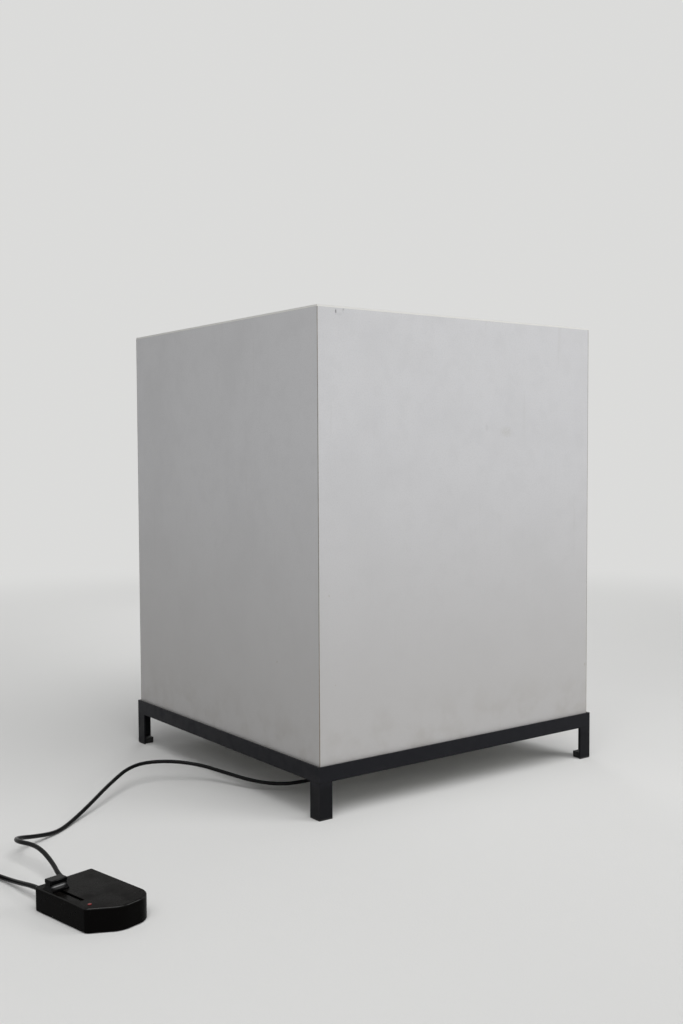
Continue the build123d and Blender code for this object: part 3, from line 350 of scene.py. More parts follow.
# ---------------------------------------------------------------- finishes
class Finish:
    """A material being built: one Principled shader, with layers over its colour and its roughness."""

    def __init__(self, name, colour, roughness, metallic=0.0, specular=0.5, **sockets):
        self.material = bpy.data.materials.new(name)
        self.material.use_nodes = True
        self.tree = self.material.node_tree
        self.shader = self.tree.nodes["Principled BSDF"]
        self.painted = rgb(colour)
        self.roughened = roughness
        self.shader.inputs["Base Color"].default_value = self.painted
        self.shader.inputs["Roughness"].default_value = roughness
        self.shader.inputs["Metallic"].default_value = metallic
        self.shader.inputs["Specular IOR Level"].default_value = specular
        for label, value in sockets.items():
            self.shader.inputs[label.replace("_", " ").title()].default_value = value

    def effect(self, name, output="Mask", **values):
        """The output of a shared effect with its own values."""
        made = node(self.tree, "ShaderNodeGroup", node_tree=shared_effect(name))
        for label, value in values.items():
            made.inputs[label].default_value = value
        return made.outputs[output]

    def mix(self, kind, mask, amount, under, over):
        """Two colours or numbers as one: the one over the other where the mask is, by the amount."""
        if amount != 1.0:
            mask = product(self.tree, mask, amount)
        made = node(self.tree, "ShaderNodeMix", data_type=kind)
        for label, value in (("Factor", mask), ("A", under), ("B", over)):
            feed(self.tree, made.inputs[label], value)
        return made.outputs["Result"]

    def layer(self, mask, colour, amount=1.0):
        """Paints a colour over what is there, where the mask is."""
        self.painted = self.mix("RGBA", mask, amount, self.painted, rgb(colour))
        self.tree.links.new(self.painted, self.shader.inputs["Base Color"])

    def paint(self, name, colour, **values):
        """Paints a colour over what is there, where a shared effect is."""
        self.layer(self.effect(name, **values), colour)

    def roughen(self, mask, roughness, amount=1.0):
        """Takes the roughness towards a value, where the mask is."""
        self.roughened = self.mix("FLOAT", mask, amount, self.roughened, roughness)
        self.tree.links.new(self.roughened, self.shader.inputs["Roughness"])

    def dull(self, name, roughness, **values):
        """Takes the roughness towards a value, where a shared effect is."""
        self.roughen(self.effect(name, **values), roughness)

    def grain(self, scale, depth, strength=1.0):
        """Relief of fine grain, in features per metre and of a depth in metres."""
        relief = node(self.tree, "ShaderNodeBump")
        relief.inputs["Distance"].default_value = depth
        relief.inputs["Strength"].default_value = strength
        self.tree.links.new(self.effect("Fine grain", "Height", Scale=scale), relief.inputs["Height"])
        self.tree.links.new(relief.outputs["Normal"], self.shader.inputs["Normal"])

    def gloss(self, mask, roughness):
        """A clear gloss, where the mask is."""
        self.shader.inputs["Coat Roughness"].default_value = roughness
        self.tree.links.new(mask, self.shader.inputs["Coat Weight"])

    def height(self):
        """The height above the lamp's floor, in metres."""
        return component(self.tree, own_place(self.tree), "Z")

    def upward(self):
        """How far the surface faces up, from -1 to 1."""
        return component(self.tree, own_normal(self.tree), "Z")

    def near(self, centre, size, core=0.2):
        """An even fall-off about a place, 1 within the core and 0 at the size."""
        shift = node(self.tree, "ShaderNodeMapping", vector_type="TEXTURE")
        shift.inputs["Location"].default_value = centre
        shift.inputs["Scale"].default_value = size
        self.tree.links.new(own_place(self.tree), shift.inputs["Vector"])
        return ramp(self.tree, length(self.tree, shift.outputs["Vector"]), 1.0, core)

    def spot(self, centre, size):
        """A small broken mark about a place: an even fall-off, cut up by noise."""
        cut = ramp(self.tree, noise(self.tree, 260.0, 4.0, 0.65), 0.36, 0.56)
        return product(self.tree, self.near(centre, size), cut)


# ---------------------------------------------------------------- geometry
def dress(names, finish, smooth=True):
    """Gives CAD nodes a finish of their own and, unless they are flat, smooth shading on their curves."""
    for name in names:
        data = nodes[name].data
        data.materials.clear()
        data.materials.append(finish.material)
        if smooth:
            data.shade_smooth()
            data.set_sharp_from_angle(angle=math.radians(35))


def link_object(name, data):
    """A new object in the scene."""
    made = bpy.data.objects.new(name, data)
    bpy.context.scene.collection.objects.link(made)
    return made


def link_mesh(name, mesh):
    """A new object in the scene, from a mesh being built."""
    data = bpy.data.meshes.new(name)
    mesh.to_mesh(data)
    mesh.free()
    return link_object(name, data)


def off_dimmer(y, run):
    """A point straight out of one of the dimmer's reliefs, a run beyond its tip."""
    tip = Vector((-RELIEF_LENGTH - run, y, DIMMER_LEAD_Z))
    return DIMMER_CORNER + Matrix.Rotation(DIMMER_HEADING, 3, "Z") @ tip


def cord_curve(name, points, diameter):
    """A round lead on one smooth spline, with the route's points as its control points."""
    curve = bpy.data.curves.new(name, "CURVE")
    curve.dimensions = "3D"
    curve.resolution_u = 5
    curve.bevel_depth = diameter / 2
    curve.bevel_resolution = 5
    curve.use_fill_caps = True
    spline = curve.splines.new("NURBS")
    spline.points.add(len(points) - 1)
    for point, place in zip(spline.points, points):
        point.co = (*place, 1.0)
    spline.order_u = 3
    spline.use_endpoint_u = True
    return link_object(name, curve)


def coil_points():
    """The coil's centre line, spiralling in and out layer by layer."""
    points = []
    count = int(COIL_TURNS * COIL_STEPS)
    for step in range(count + 1):
        turned = COIL_TURNS * step / count
        layer = min(int(turned / LAYER_TURNS), COIL_LAYERS - 1)
        within = turned - layer * LAYER_TURNS
        inward = within if layer % 2 == 0 else LAYER_TURNS - within
        radius = (COIL_OUTER_R - inward * COIL_PITCH) / math.cos(math.pi / COIL_STEPS)
        climbed = 0.0
        for change in range(1, COIL_LAYERS):
            start = change * LAYER_TURNS - COIL_CLIMB / 2
            climbed += min(max((turned - start) / COIL_CLIMB, 0.0), 1.0)
        angle = COIL_START + turned * 2 * math.pi
        points.append(COIL_CENTRE + Vector((radius * math.cos(angle), radius * math.sin(angle),
                                            COIL_BASE_Z + climbed * COIL_PITCH)))
    return points


def coil_way(turned):
    """The level direction of the coil's line after so many turns."""
    angle = COIL_START + math.pi / 2 + turned * 2 * math.pi
    return Vector((math.cos(angle), math.sin(angle), 0.0))


def tie_loop(low, high, near, far):
    """A cross-section of the coil's tie: radii from the coil's middle and heights, with round corners."""
    low, high, near, far = low + TIE_CORNER_R, high - TIE_CORNER_R, near + TIE_CORNER_R, far - TIE_CORNER_R
    loop = []
    for radius, height, first in ((far, low, -90), (far, high, 0), (near, high, 90), (near, low, 180)):
        for step in range(TIE_CORNER_STEPS + 1):
            angle = math.radians(first + step * 90 / TIE_CORNER_STEPS)
            corner = Vector((math.cos(angle), math.sin(angle))) * TIE_CORNER_R
            loop.append(Vector((radius, height)) + corner)
    return loop


def ribbon(name, path, across, width, thickness):
    """A flat strap along a path: its width goes across, and its thickness lies on the path's right."""
    mesh = bmesh.new()
    rings = []
    last = len(path) - 1
    for index, place in enumerate(path):
        along = (path[min(index + 1, last)] - path[max(index - 1, 0)]).normalized()
        out = along.cross(across).normalized() * thickness
        narrowed = min(1.0, math.sqrt((last - index) / TIE_END) * 0.5 + 0.5)
        half = across * (width / 2 * narrowed)
        ring = (place - half, place + half, place + half + out, place - half + out)
        rings.append([mesh.verts.new(corner) for corner in ring])
    for first, second in zip(rings, rings[1:]):
        for side in range(4):
            after = (side + 1) % 4
            mesh.faces.new((first[side], first[after], second[after], second[side]))
    mesh.faces.new(reversed(rings[0]))
    mesh.faces.new(rings[-1])
    bmesh.ops.recalc_face_normals(mesh, faces=mesh.faces)
    made = link_mesh(name, mesh)
    edge = made.modifiers.new("Soft edges", "BEVEL")
    edge.width = thickness * TIE_SOFT_EDGE
    edge.segments = 3
    edge.limit_method = "ANGLE"
    return made


# ---------------------------------------------------------------- settings
def colour_setting(name, description, default):
    """A colour that the user can change, as it looks on screen."""
    return FloatVectorProperty(name=name, description=description, subtype="COLOR_GAMMA", size=3,
                               min=0.0, max=1.0, default=default)


def length_setting(name, description, default):
    """A length that the user can change, in metres."""
    return FloatProperty(name=name, description=description, unit="LENGTH", default=default)


def power_setting(name, description, default):
    """A lamp's power that the user can change, in watts."""
    return FloatProperty(name=name, description=description, unit="POWER", default=default)


def angle_setting(name, description, degrees):
    """An angle that the user can change."""
    return FloatProperty(name=name, description=description, subtype="ANGLE", default=math.radians(degrees))


class ShadeLook(bpy.types.PropertyGroup):
    """Colours and grain of the opal shade."""
    sheet: colour_setting("Sheet", "Colour of the opal sheet", (0.800, 0.800, 0.808))
    cut_edge: colour_setting("Cut edge", "Colour of the sheet's cut edges", (0.868, 0.864, 0.850))
    bond: colour_setting("Bond line", "Colour of the aged adhesive", (0.46, 0.45, 0.42))
    roughness: FloatProperty(name="Roughness", description="Roughness of the satin face", default=0.48,
                             min=0.0, max=1.0)
    fleck: FloatProperty(name="Fleck", description="Flecks per metre in the satin face", default=420.0)


class FrameLook(bpy.types.PropertyGroup):
    """Colours and wear of the angle frame and its feet."""
    paint: colour_setting("Paint", "Colour of the powder coat", (0.088, 0.090, 0.108))
    worn: colour_setting("Worn", "Colour of rubbed edges", (0.26, 0.26, 0.28))
    foot: colour_setting("Feet", "Colour of the feet", (0.055, 0.056, 0.057))
    wear_width: length_setting("Wear width", "Width of the rubbed edges", 0.0012)


class LeadLook(bpy.types.PropertyGroup):
    """Sizes and colours of the leads, their tie and the plug."""
    diameter: length_setting("Diameter", "Diameter of both leads", 0.0062)
    sheath: colour_setting("Sheath", "Colour of the sheath", (0.026, 0.026, 0.029))
    tie: colour_setting("Tie", "Colour of the tie strap", (0.16, 0.16, 0.17))
    tie_width: length_setting("Tie width", "Width of the tie strap", 0.012)
    plug: colour_setting("Plug", "Colour of the plug", (0.050, 0.050, 0.053))


class DimmerLook(bpy.types.PropertyGroup):
    """Colours of the foot dimmer."""
    shell: colour_setting("Shell", "Colour of the two shells", (0.034, 0.031, 0.029))
    slider: colour_setting("Slider", "Colour of the slider", (0.030, 0.030, 0.034))
    lens: colour_setting("Indicator", "Colour of the indicator", (0.46, 0.05, 0.05))


class InsideLook(bpy.types.PropertyGroup):
    """Colours of what is under the shade."""
    tray: colour_setting("Tray", "Colour of the tray's enamel", (0.86, 0.86, 0.85))
    holder: colour_setting("Holders", "Colour of the lampholders", (0.84, 0.83, 0.80))
    globe: colour_setting("Bulb domes", "Colour of the frosted domes", (0.92, 0.92, 0.90))


class StudioLook(bpy.types.PropertyGroup):
    """Camera, floor and light."""
    eye: FloatVectorProperty(name="Eye", description="Place of the camera", subtype="TRANSLATION", size=3,
                             default=(-1.2913, -1.6994, 0.559))
    yaw: angle_setting("Yaw", "Heading of the view, from +Y towards +X", 36.48)
    pitch: angle_setting("Pitch", "Tilt of the view above the horizon", -2.914)
    roll: angle_setting("Roll", "Roll of the view", -0.2875)
    lens: FloatProperty(name="Focal length", description="Focal length on a sensor 36 mm long",
                        unit="CAMERA", default=40.06)
    floor: colour_setting("Floor", "Colour of floor and backdrop", (0.86, 0.86, 0.855))
    sun: FloatProperty(name="Broad light", description="Strength of the broad light from above",
                       default=1.75)
    key: power_setting("Key light", "Power of the softbox at the front right", 9.5)
    fill: power_setting("Fill light", "Power of the softbox at the left", 4.2)
    back: power_setting("Back light", "Power of the softbox behind", 8.0)
    ambient: FloatProperty(name="Ambient", description="Strength of the even light all round", default=0.18)


# ---------------------------------------------------------------- operators
class BOXLAMP_OT_studio(bpy.types.Operator):
    """Sets the camera, the pale floor and the soft lights"""
    bl_idname = "boxlamp.studio"
    bl_label = "Studio"

    def execute(self, context):
        look = context.scene.boxlamp_studio
        self.add_camera(context, look)
        self.add_floor(look)
        self.add_world(context, look)
        self.add_lights(look)
        context.scene.view_settings.view_transform = "Standard"
        return {"FINISHED"}

    def add_camera(self, context, look):
        """The photograph's eye point and view."""
        ahead = Vector((math.sin(look.yaw) * math.cos(look.pitch), math.cos(look.yaw) * math.cos(look.pitch),
                        math.sin(look.pitch)))
        level = Vector((math.cos(look.yaw), -math.sin(look.yaw), 0.0))
        above = level.cross(ahead)
        right = level * math.cos(look.roll) + above * math.sin(look.roll)
        up = above * math.cos(look.roll) - level * math.sin(look.roll)
        camera = bpy.data.cameras.new("view")
        camera.lens = look.lens
        camera.sensor_width = SENSOR_SIDE
        camera.clip_end = VIEW_REACH
        eye = link_object("view", camera)
        eye.matrix_world = Matrix.Translation(look.eye) @ Matrix((right, up, -ahead)).transposed().to_4x4()
        context.scene.camera = eye

    def add_floor(self, look):
        """A pale floor that fades into the backdrop's colour far away."""
        mesh = bmesh.new()
        bmesh.ops.create_circle(mesh, cap_ends=True, segments=96, radius=FLOOR_RADIUS)
        floor = link_mesh("floor", mesh)
        finish = Finish("pale floor", look.floor, 0.75, specular=0.2)
        finish.paint("Cloud patches", darker(look.floor, 0.985), Scale=1.5, Amount=0.25)
        finish.grain(300.0, 0.0002)
        tree = finish.tree
        fade = ramp(tree, length(tree, own_place(tree)), *FLOOR_FADE)
        backdrop = node(tree, "ShaderNodeEmission")
        backdrop.inputs["Color"].default_value = rgb(look.floor)
        mix_surface(tree, "Material Output", product(tree, fade, seen_rays(tree)),
                    finish.shader.outputs["BSDF"], backdrop.outputs["Emission"])
        floor.data.materials.append(finish.material)

    def add_world(self, context, look):
        """Faint even light all round, and the backdrop's colour where it shows."""
        world = bpy.data.worlds.new("studio")
        world.use_nodes = True
        context.scene.world = world
        tree = world.node_tree
        ambient = tree.nodes["Background"]
        ambient.inputs["Color"].default_value = WHITE
        ambient.inputs["Strength"].default_value = look.ambient
        backdrop = node(tree, "ShaderNodeBackground")
        backdrop.inputs["Color"].default_value = rgb(look.floor)
        mix_surface(tree, "World Output", seen_rays(tree),
                    ambient.outputs["Background"], backdrop.outputs["Background"])

    def add_lights(self, look):
        """A broad light from above, and softboxes at the front right, at the left and behind."""
        broad = bpy.data.lights.new("broad", "SUN")
        broad.energy = look.sun
        broad.angle = SUN_WIDTH
        self.aim(link_object("broad", broad), SUN_PLACE, (0.0, 0.0, 0.0))
        for name, side, place, target in SOFTBOXES:
            light = bpy.data.lights.new(name, "AREA")
            light.size = side
            light.energy = getattr(look, name)
            self.aim(link_object(name, light), place, target)

    def aim(self, light, place, target):
        """Stands a light at a place, turned towards a target."""
        light.location = place
        light.rotation_euler = (Vector(target) - Vector(place)).to_track_quat("-Z", "Y").to_euler()


class BOXLAMP_OT_leads(bpy.types.Operator):
    """Lays the lamp lead and the mains lead with its tied coil"""
    bl_idname = "boxlamp.leads"
    bl_label = "Leads"

    def execute(self, context):
        look = context.scene.boxlamp_leads
        sheath = Finish("lead sheath", look.sheath, 0.30, specular=0.12)
        sheath.paint("Settled dust", paler(look.sheath, 0.10), Scale=55.0, Amount=0.18)
        sheath.dull("Cloud patches", 0.52, Scale=30.0)
        sheath.grain(1400.0, 0.00006)
        relief = Finish("moulded relief", look.sheath, 0.44, specular=0.25)
        relief.paint("Settled dust", paler(look.sheath, 0.10), Scale=80.0, Amount=0.25)
        relief.grain(1800.0, 0.00008)
        dress(["tray_relief", "dimmer_relief_lamp", "dimmer_relief_mains"], relief)
        self.lay_lamp_lead(look, sheath)
        tie = self.add_tie(look)
        self.dress_plug(look)
        self.lay_mains_lead(look, sheath, tie)
        return {"FINISHED"}

    def lay_lamp_lead(self, look, sheath):
        """From the tray's relief over the floor to the dimmer."""
        route = [*LAMP_ROUTE, off_dimmer(LAMP_LEAD_Y, LAMP_LEAD_RUN), off_dimmer(LAMP_LEAD_Y, 0.0)]
        lead = cord_curve("lamp_lead_cord", route, look.diameter)
        lead.data.materials.append(sheath.material)
        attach(lead, "root")
        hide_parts("lamp_lead")

    def lay_mains_lead(self, look, sheath, tie):
        """From the dimmer into the tied coil and out to the plug."""
        coil = coil_points()
        way_in = coil_way(0.0)
        way_out = coil_way(COIL_TURNS)
        coil_in = coil[0] - way_in * look.diameter
        coil_out = coil[-1] + way_out * look.diameter
        route = [off_dimmer(MAINS_LEAD_Y, 0.0), off_dimmer(MAINS_LEAD_Y, MAINS_LEAD_RUN), *MAINS_ROUTE,
                 coil_in - way_in * COIL_RUN_IN, coil_in, *coil, coil_out, coil_out + way_out * COIL_RUN_OUT,
                 PLUG_BEND, PLUG_BACK - PLUG_WAY * PLUG_RUN, PLUG_BACK]
        lead = cord_curve("mains_lead_cord", route, look.diameter)
        lead.data.materials.append(sheath.material)
        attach(lead, "root")
        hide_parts("mains_lead", "mains_lead_coil", "mains_lead_tail")

    def add_tie(self, look):
        """The strap round the coil: once round and a short way over itself."""
        foot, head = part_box("coil_tie")
        low = foot.z + TIE_THICKNESS
        high = head.z - TIE_THICKNESS
        near = COIL_OUTER_R - LAYER_TURNS * COIL_PITCH - look.diameter / 2 - TIE_GAP * 2
        far = COIL_OUTER_R + look.diameter / 2 + TIE_GAP
        loop = tie_loop(low, high, near, far)
        middle = Vector(((near + far) / 2, (low + high) / 2))
        radial = Vector((math.cos(TIE_BEARING), math.sin(TIE_BEARING), 0.0))
        across = Vector((-math.sin(TIE_BEARING), math.cos(TIE_BEARING), 0.0))
        path = []
        for index in range(len(loop) + TIE_LAP):
            corner = loop[index % len(loop)]
            climbed = max(0.0, min(1.0, (index - len(loop) + TIE_RISE) / TIE_RISE))
            corner = corner + (corner - middle).normalized() * (climbed * TIE_THICKNESS * TIE_LIFT)
            path.append(COIL_CENTRE + radial * corner.x + Vector((0.0, 0.0, corner.y)))
        strap = ribbon("coil_tie_strap", path, across, look.tie_width, TIE_THICKNESS)
        finish = Finish("hook tape", look.tie, 0.9, specular=0.15, sheen_weight=0.25)
        finish.paint("Cloud patches", paler(look.tie, 0.07), Scale=400.0)
        finish.grain(1600.0, 0.0003)
        strap.data.materials.append(finish.material)
        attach(strap, "root")
        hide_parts("coil_tie")
        return strap

    def dress_plug(self, look):
        """Fine moulded grain on the plug, nickel on its contacts."""
        body = Finish("plug moulding", look.plug, 0.50, specular=0.15)
        body.paint("Edge wear", paler(look.plug, 0.10), Width=0.0008, Amount=0.35)
        body.paint("Settled dust", paler(look.plug, 0.10), Scale=70.0, Amount=0.2)
        body.grain(1500.0, 0.0001)
        dress(["plug_body"], body)
        nickel = Finish("nickel", (0.74, 0.72, 0.66), 0.24, metallic=1.0)
        nickel.dull("Cloud patches", 0.38, Scale=220.0)
        dress(["plug_contacts"], nickel)


class BOXLAMP_OT_shade(bpy.types.Operator):
    """Finishes the opal shade, its cut edges and its bond lines"""
    bl_idname = "boxlamp.shade"
    bl_label = "Shade"

    def execute(self, context):
        look = context.scene.boxlamp_shade
        wall = self.sheet("opal sheet", look)
        for place, size, strength, colour in MARKS:
            wall.layer(wall.spot(place, size), colour, amount=strength)
        dress([f"shade_{side}" for side in SIDES], wall, smooth=False)
        lid = self.sheet("opal top", look)
        lid.layer(ramp(lid.tree, lid.upward(), 0.9, 0.5), look.cut_edge)
        dress(["shade_top"], lid, smooth=False)
        self.dress_bonds(look)
        return {"FINISHED"}

    def sheet(self, name, look):
        """Satin opal sheet: faint patches, fine flecks, painted shade towards the foot, grime low down and at
        the edges.
        """
        finish = Finish(name, look.sheet, look.roughness, specular=0.42)
        tree = finish.tree
        finish.paint("Cloud patches", darker(look.sheet, 0.96), Scale=7.0, Low=0.42, High=0.72, Amount=0.5)
        finish.paint("Cloud patches", darker(look.sheet, 0.96), Scale=38.0, Low=0.45, High=0.70, Amount=0.34)
        finish.layer(finish.effect("Fine grain", Scale=look.fleck), darker(look.sheet, 0.92), amount=0.30)
        runs = ramp(tree, noise(tree, 1.0, 2.0, 0.5, (70.0, 70.0, 3.0)), 0.64, 0.70)
        patchy = finish.effect("Cloud patches", Scale=9.0, Amount=0.13)
        finish.layer(product(tree, runs, patchy), (0.68, 0.67, 0.65))
        height = finish.height()
        # Painted shade: the sheet darker, and a little warmer, towards its foot.
        aged = [c * share for c, share in zip(look.sheet, PAINTED_SHADE_SHARE)]
        finish.layer(ramp(tree, height, *PAINTED_SHADE_HEIGHTS), aged, amount=0.85)
        patchy = finish.effect("Cloud patches", Scale=22.0, Amount=0.3)
        finish.layer(product(tree, ramp(tree, height, *GRIME_HEIGHTS), patchy), (0.60, 0.58, 0.55))
        finish.paint("Edge wear", (0.66, 0.63, 0.57), Width=0.0016, Scale=45.0, Amount=0.25)
        finish.dull("Cloud patches", look.roughness + 0.05, Scale=14.0)
        finish.grain(look.fleck, 0.00012, strength=0.6)
        return finish

    def dress_bonds(self, look):
        """Aged adhesive in the four upright mitres."""
        bond = Finish("aged adhesive", look.bond, 0.35)
        bond.paint("Cloud patches", (0.52, 0.51, 0.48), Scale=60.0, Low=0.42, High=0.6, Amount=0.6)
        bond.layer(ramp(bond.tree, bond.height(), *BOND_AGED_HEIGHTS), (0.46, 0.40, 0.31), amount=0.7)
        bond.paint("Cloud patches", (0.40, 0.34, 0.26), Scale=180.0, Low=0.55, High=0.68, Amount=0.5)
        bond.grain(500.0, 0.0002)
        dress(["shade_corner_bonds"], bond, smooth=False)


class BOXLAMP_OT_angle_frame(bpy.types.Operator):
    """Finishes the angle frame, its feet and the dimmer's pads"""
    bl_idname = "boxlamp.angle_frame"
    bl_label = "Angle frame"

    def execute(self, context):
        look = context.scene.boxlamp_frame
        self.dress_metal(look)
        self.dress_feet(look)
        return {"FINISHED"}

    def dress_metal(self, look):
        """Powder coat on rails and legs, dark where a leg joins its rail, with painted shade on the legs
        below.
        """
        paint = Finish("powder coat", look.paint, 0.46, specular=0.12)
        paint.paint("Cloud patches", paler(look.paint, 0.025), Scale=26.0, Amount=0.35)
        rail_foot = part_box("rail_front")[0].z
        below = maths(paint.tree, "SUBTRACT", rail_foot, paint.height())
        joint = ramp(paint.tree, maths(paint.tree, "ABSOLUTE", below), *LEG_JOINT)
        paint.layer(joint, darker(look.paint, 0.45), amount=0.85)
        # Painted shade: the legs below the rails darker.
        paint.layer(ramp(paint.tree, below, *LEG_PAINTED_SHADE), darker(look.paint, 0.62), amount=0.8)
        paint.paint("Edge wear", look.worn, Width=look.wear_width, Scale=90.0, Amount=0.40)
        paint.paint("Settled dust", (0.36, 0.35, 0.34), Scale=60.0, Amount=0.25)
        paint.dull("Cloud patches", 0.58, Scale=55.0)
        paint.grain(650.0, 0.00012)
        dress([f"rail_{side}" for side in SIDES] + [f"leg_{corner}" for corner in CORNERS], paint)

    def dress_feet(self, look):
        """Black rubber, scuffed and dusty."""
        foot = Finish("black foot", look.foot, 0.62, specular=0.35)
        foot.paint("Edge wear", (0.24, 0.24, 0.24), Width=0.001, Amount=0.4)
        foot.paint("Cloud patches", (0.19, 0.185, 0.18), Scale=120.0, Amount=0.3)
        foot.grain(900.0, 0.00015)
        dress([f"foot_{corner}" for corner in CORNERS] + ["dimmer_pads"], foot)


class BOXLAMP_OT_inside(bpy.types.Operator):
    """Finishes the tray, lampholders, bulbs and the mains connection"""
    bl_idname = "boxlamp.inside"
    bl_label = "Inside"

    def execute(self, context):
        look = context.scene.boxlamp_inside
        self.dress_tray(look)
        self.dress_holders(look)
        self.dress_bulbs(look)
        return {"FINISHED"}

    def dress_tray(self, look):
        """Enamelled tray with its zinc and brass screws."""
        tray = Finish("white enamel", look.tray, 0.34)
        tray.paint("Settled dust", PALE_DUST, Scale=18.0, Amount=0.35)
        tray.paint("Edge wear", (0.55, 0.54, 0.52), Width=0.001, Amount=0.5)
        tray.grain(240.0, 0.00012)
        dress(["base_tray"], tray, smooth=False)
        zinc = Finish("zinc plate", (0.70, 0.70, 0.67), 0.32, metallic=1.0)
        zinc.paint("Cloud patches", (0.56, 0.55, 0.50), Scale=500.0, Amount=0.5)
        zinc.dull("Fine grain", 0.48, Scale=1200.0)
        dress(["tray_screws", "lampholder_nuts", "dimmer_screws"], zinc)
        brass = Finish("turned brass", (0.78, 0.64, 0.36), 0.30, metallic=1.0)
        brass.dull("Cloud patches", 0.45, Scale=500.0)
        dress(["earth_screw"], brass)

    def dress_holders(self, look):
        """White mouldings and cables."""
        moulded = Finish("white moulding", look.holder, 0.42)
        moulded.paint("Cloud patches", darker(look.holder, 0.95), Scale=45.0, Amount=0.3)
        moulded.paint("Settled dust", PALE_DUST, Scale=50.0, Amount=0.4)
        moulded.grain(1100.0, 0.00008)
        dress(["terminal_cover", "terminal_block", "cord_clamp"], moulded)
        dress([f"lampholder_{number}" for number in BULBS], moulded)
        sheath = Finish("white sheath", (0.82, 0.82, 0.80), 0.45)
        sheath.paint("Settled dust", PALE_DUST, Scale=70.0, Amount=0.4)
        sheath.grain(1300.0, 0.00006)
        dress(["inner_cables"], sheath)

    def dress_bulbs(self, look):
        """Plated screw caps below white collars, and frosted domes."""
        cap_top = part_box("bulb_base_1")[0].z + CAP_HEIGHT
        base = Finish("bulb base", (0.86, 0.86, 0.85), 0.4)
        plated = ramp(base.tree, base.height(), cap_top + CAP_BORDER, cap_top - CAP_BORDER)
        base.layer(plated, (0.72, 0.71, 0.68))
        base.tree.links.new(plated, base.shader.inputs["Metallic"])
        base.dull("Cloud patches", 0.5, Scale=150.0)
        base.grain(900.0, 0.00006)
        dress([f"bulb_base_{number}" for number in BULBS], base)
        dome = Finish("frosted dome", look.globe, 0.55, subsurface_weight=0.3, subsurface_scale=0.004)
        dome.paint("Settled dust", (0.74, 0.72, 0.68), Scale=60.0, Amount=0.3)
        dome.grain(1500.0, 0.00005)
        dress([f"bulb_globe_{number}" for number in BULBS], dome)


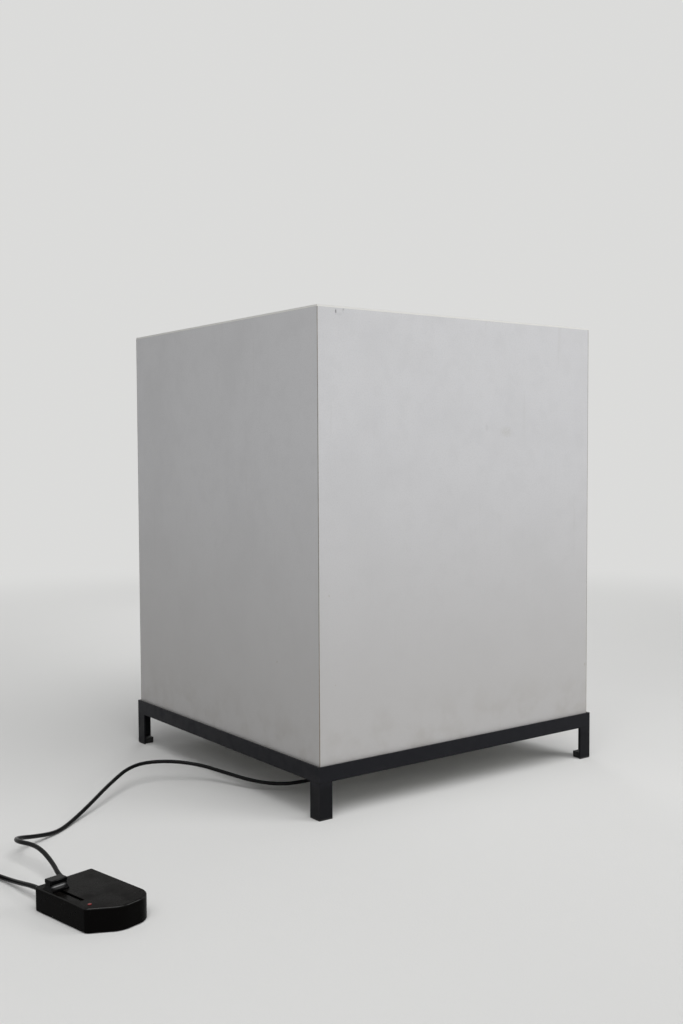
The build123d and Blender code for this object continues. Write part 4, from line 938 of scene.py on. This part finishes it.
class BOXLAMP_OT_dimmer(bpy.types.Operator):
    """Finishes the foot dimmer, its slider and what is inside it"""
    bl_idname = "boxlamp.dimmer"
    bl_label = "Dimmer"

    def execute(self, context):
        look = context.scene.boxlamp_dimmer
        self.dress_shells(look)
        self.dress_slider(look)
        self.dress_parts()
        return {"FINISHED"}

    def dress_shells(self, look):
        """Black mouldings, satin with fine scratches and glossy along their rims."""
        shell = Finish("black moulding", look.shell, 0.24, specular=0.02)
        shell.paint("Edge wear", (0.14, 0.14, 0.15), Width=0.0007, Scale=140.0, Amount=0.12)
        shell.paint("Settled dust", (0.26, 0.24, 0.22), Scale=48.0, Amount=0.06)
        shell.dull("Cloud patches", 0.42, Scale=40.0)
        scratch = ramp(shell.tree, noise(shell.tree, 60.0, 2.0, 0.5, (1.0, 14.0, 1.0)), 0.62, 0.70)
        shell.roughen(scratch, 0.6, amount=0.6)
        upward = shell.upward()
        rim = product(shell.tree, ramp(shell.tree, upward, 0.04, 0.25), ramp(shell.tree, upward, 0.995, 0.90))
        shell.gloss(product(shell.tree, rim, 0.35), 0.07)
        shell.grain(1300.0, 0.00004)
        dress(["dimmer_top", "dimmer_bottom", "dimmer_cord_clamps"], shell)

    def dress_slider(self, look):
        """Polished slider and red indicator."""
        slider = Finish("polished black", look.slider, 0.20, specular=0.05)
        slider.paint("Settled dust", (0.34, 0.32, 0.30), Scale=90.0, Amount=0.06)
        upward = slider.upward()
        slope = product(slider.tree, ramp(slider.tree, upward, 0.06, 0.25),
                        ramp(slider.tree, upward, 0.97, 0.88))
        low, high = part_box("slider_knob")
        middle = ((low.x + high.x) / 2, (low.y + high.y) / 2, high.z - POLISH_DEPTH)
        polished = slider.near(middle, (POLISH_REACH,) * 3, POLISH_CORE)
        slider.gloss(product(slider.tree, slope, polished), 0.05)
        slider.dull("Cloud patches", 0.24, Scale=90.0)
        dress(["slider_knob"], slider)
        lens = Finish("red lens", look.lens, 0.22, specular=0.25)
        lens.paint("Cloud patches", darker(look.lens, 0.7), Scale=300.0, Amount=0.5)
        dress(["dimmer_indicator"], lens)

    def dress_parts(self):
        """Board and components, seen through the slot and when the dimmer is opened."""
        board = Finish("solder mask", (0.10, 0.32, 0.18), 0.4)
        board.paint("Cloud patches", (0.72, 0.68, 0.50), Scale=260.0, Low=0.55, High=0.6)
        dress(["dimmer_board"], board, smooth=False)
        tin = Finish("tinned steel", (0.66, 0.66, 0.64), 0.4, metallic=1.0)
        tin.dull("Cloud patches", 0.55, Scale=300.0)
        dress(["dimmer_slide_pot"], tin, smooth=False)
        sink = Finish("bare aluminium", (0.74, 0.75, 0.76), 0.38, metallic=1.0)
        sink.dull("Fine grain", 0.5, Scale=900.0)
        dress(["dimmer_triac"], sink, smooth=False)
        winding = Finish("varnished winding", (0.62, 0.34, 0.14), 0.35)
        winding.paint("Cloud patches", (0.36, 0.18, 0.08), Scale=700.0)
        dress(["dimmer_choke"], winding, smooth=False)
        glass = Finish("fuse glass", (0.80, 0.84, 0.84), 0.12, specular=0.6)
        glass.paint("Cloud patches", (0.62, 0.64, 0.62), Scale=400.0, Amount=0.5)
        dress(["dimmer_fuse"], glass, smooth=False)


class BOXLAMP_PT_sidebar(bpy.types.Panel):
    """Lists the pieces of the lamp and their settings"""
    bl_idname = "BOXLAMP_PT_sidebar"
    bl_label = "Box lamp"
    bl_space_type = "VIEW_3D"
    bl_region_type = "UI"
    bl_category = "Box lamp"

    def draw(self, context):
        for name, place, _, operator in PIECES:
            box = self.layout.box()
            box.operator(operator.bl_idname, text=name)
            settings = getattr(context.scene, place)
            for label in settings.bl_rna.properties.keys():
                if label not in ("rna_type", "name"):
                    box.prop(settings, label)


# The pieces: each one's name, the place of its settings in the scene, their group and its operator.
PIECES = (
    ("Studio", "boxlamp_studio", StudioLook, BOXLAMP_OT_studio),
    ("Leads", "boxlamp_leads", LeadLook, BOXLAMP_OT_leads),
    ("Shade", "boxlamp_shade", ShadeLook, BOXLAMP_OT_shade),
    ("Angle frame", "boxlamp_frame", FrameLook, BOXLAMP_OT_angle_frame),
    ("Inside", "boxlamp_inside", InsideLook, BOXLAMP_OT_inside),
    ("Dimmer", "boxlamp_dimmer", DimmerLook, BOXLAMP_OT_dimmer),
)


def register():
    for _, place, group, operator in PIECES:
        bpy.utils.register_class(group)
        setattr(bpy.types.Scene, place, PointerProperty(type=group))
        bpy.utils.register_class(operator)
    bpy.utils.register_class(BOXLAMP_PT_sidebar)


def unregister():
    bpy.utils.unregister_class(BOXLAMP_PT_sidebar)
    for _, place, group, operator in reversed(PIECES):
        bpy.utils.unregister_class(operator)
        delattr(bpy.types.Scene, place)
        bpy.utils.unregister_class(group)


def main():
    register()
    bpy.ops.boxlamp.studio()
    bpy.ops.boxlamp.leads()
    bpy.ops.boxlamp.shade()
    bpy.ops.boxlamp.angle_frame()
    bpy.ops.boxlamp.inside()
    bpy.ops.boxlamp.dimmer()
    bpy.context.view_layer.update()


if __name__ == "__main__":
    main()
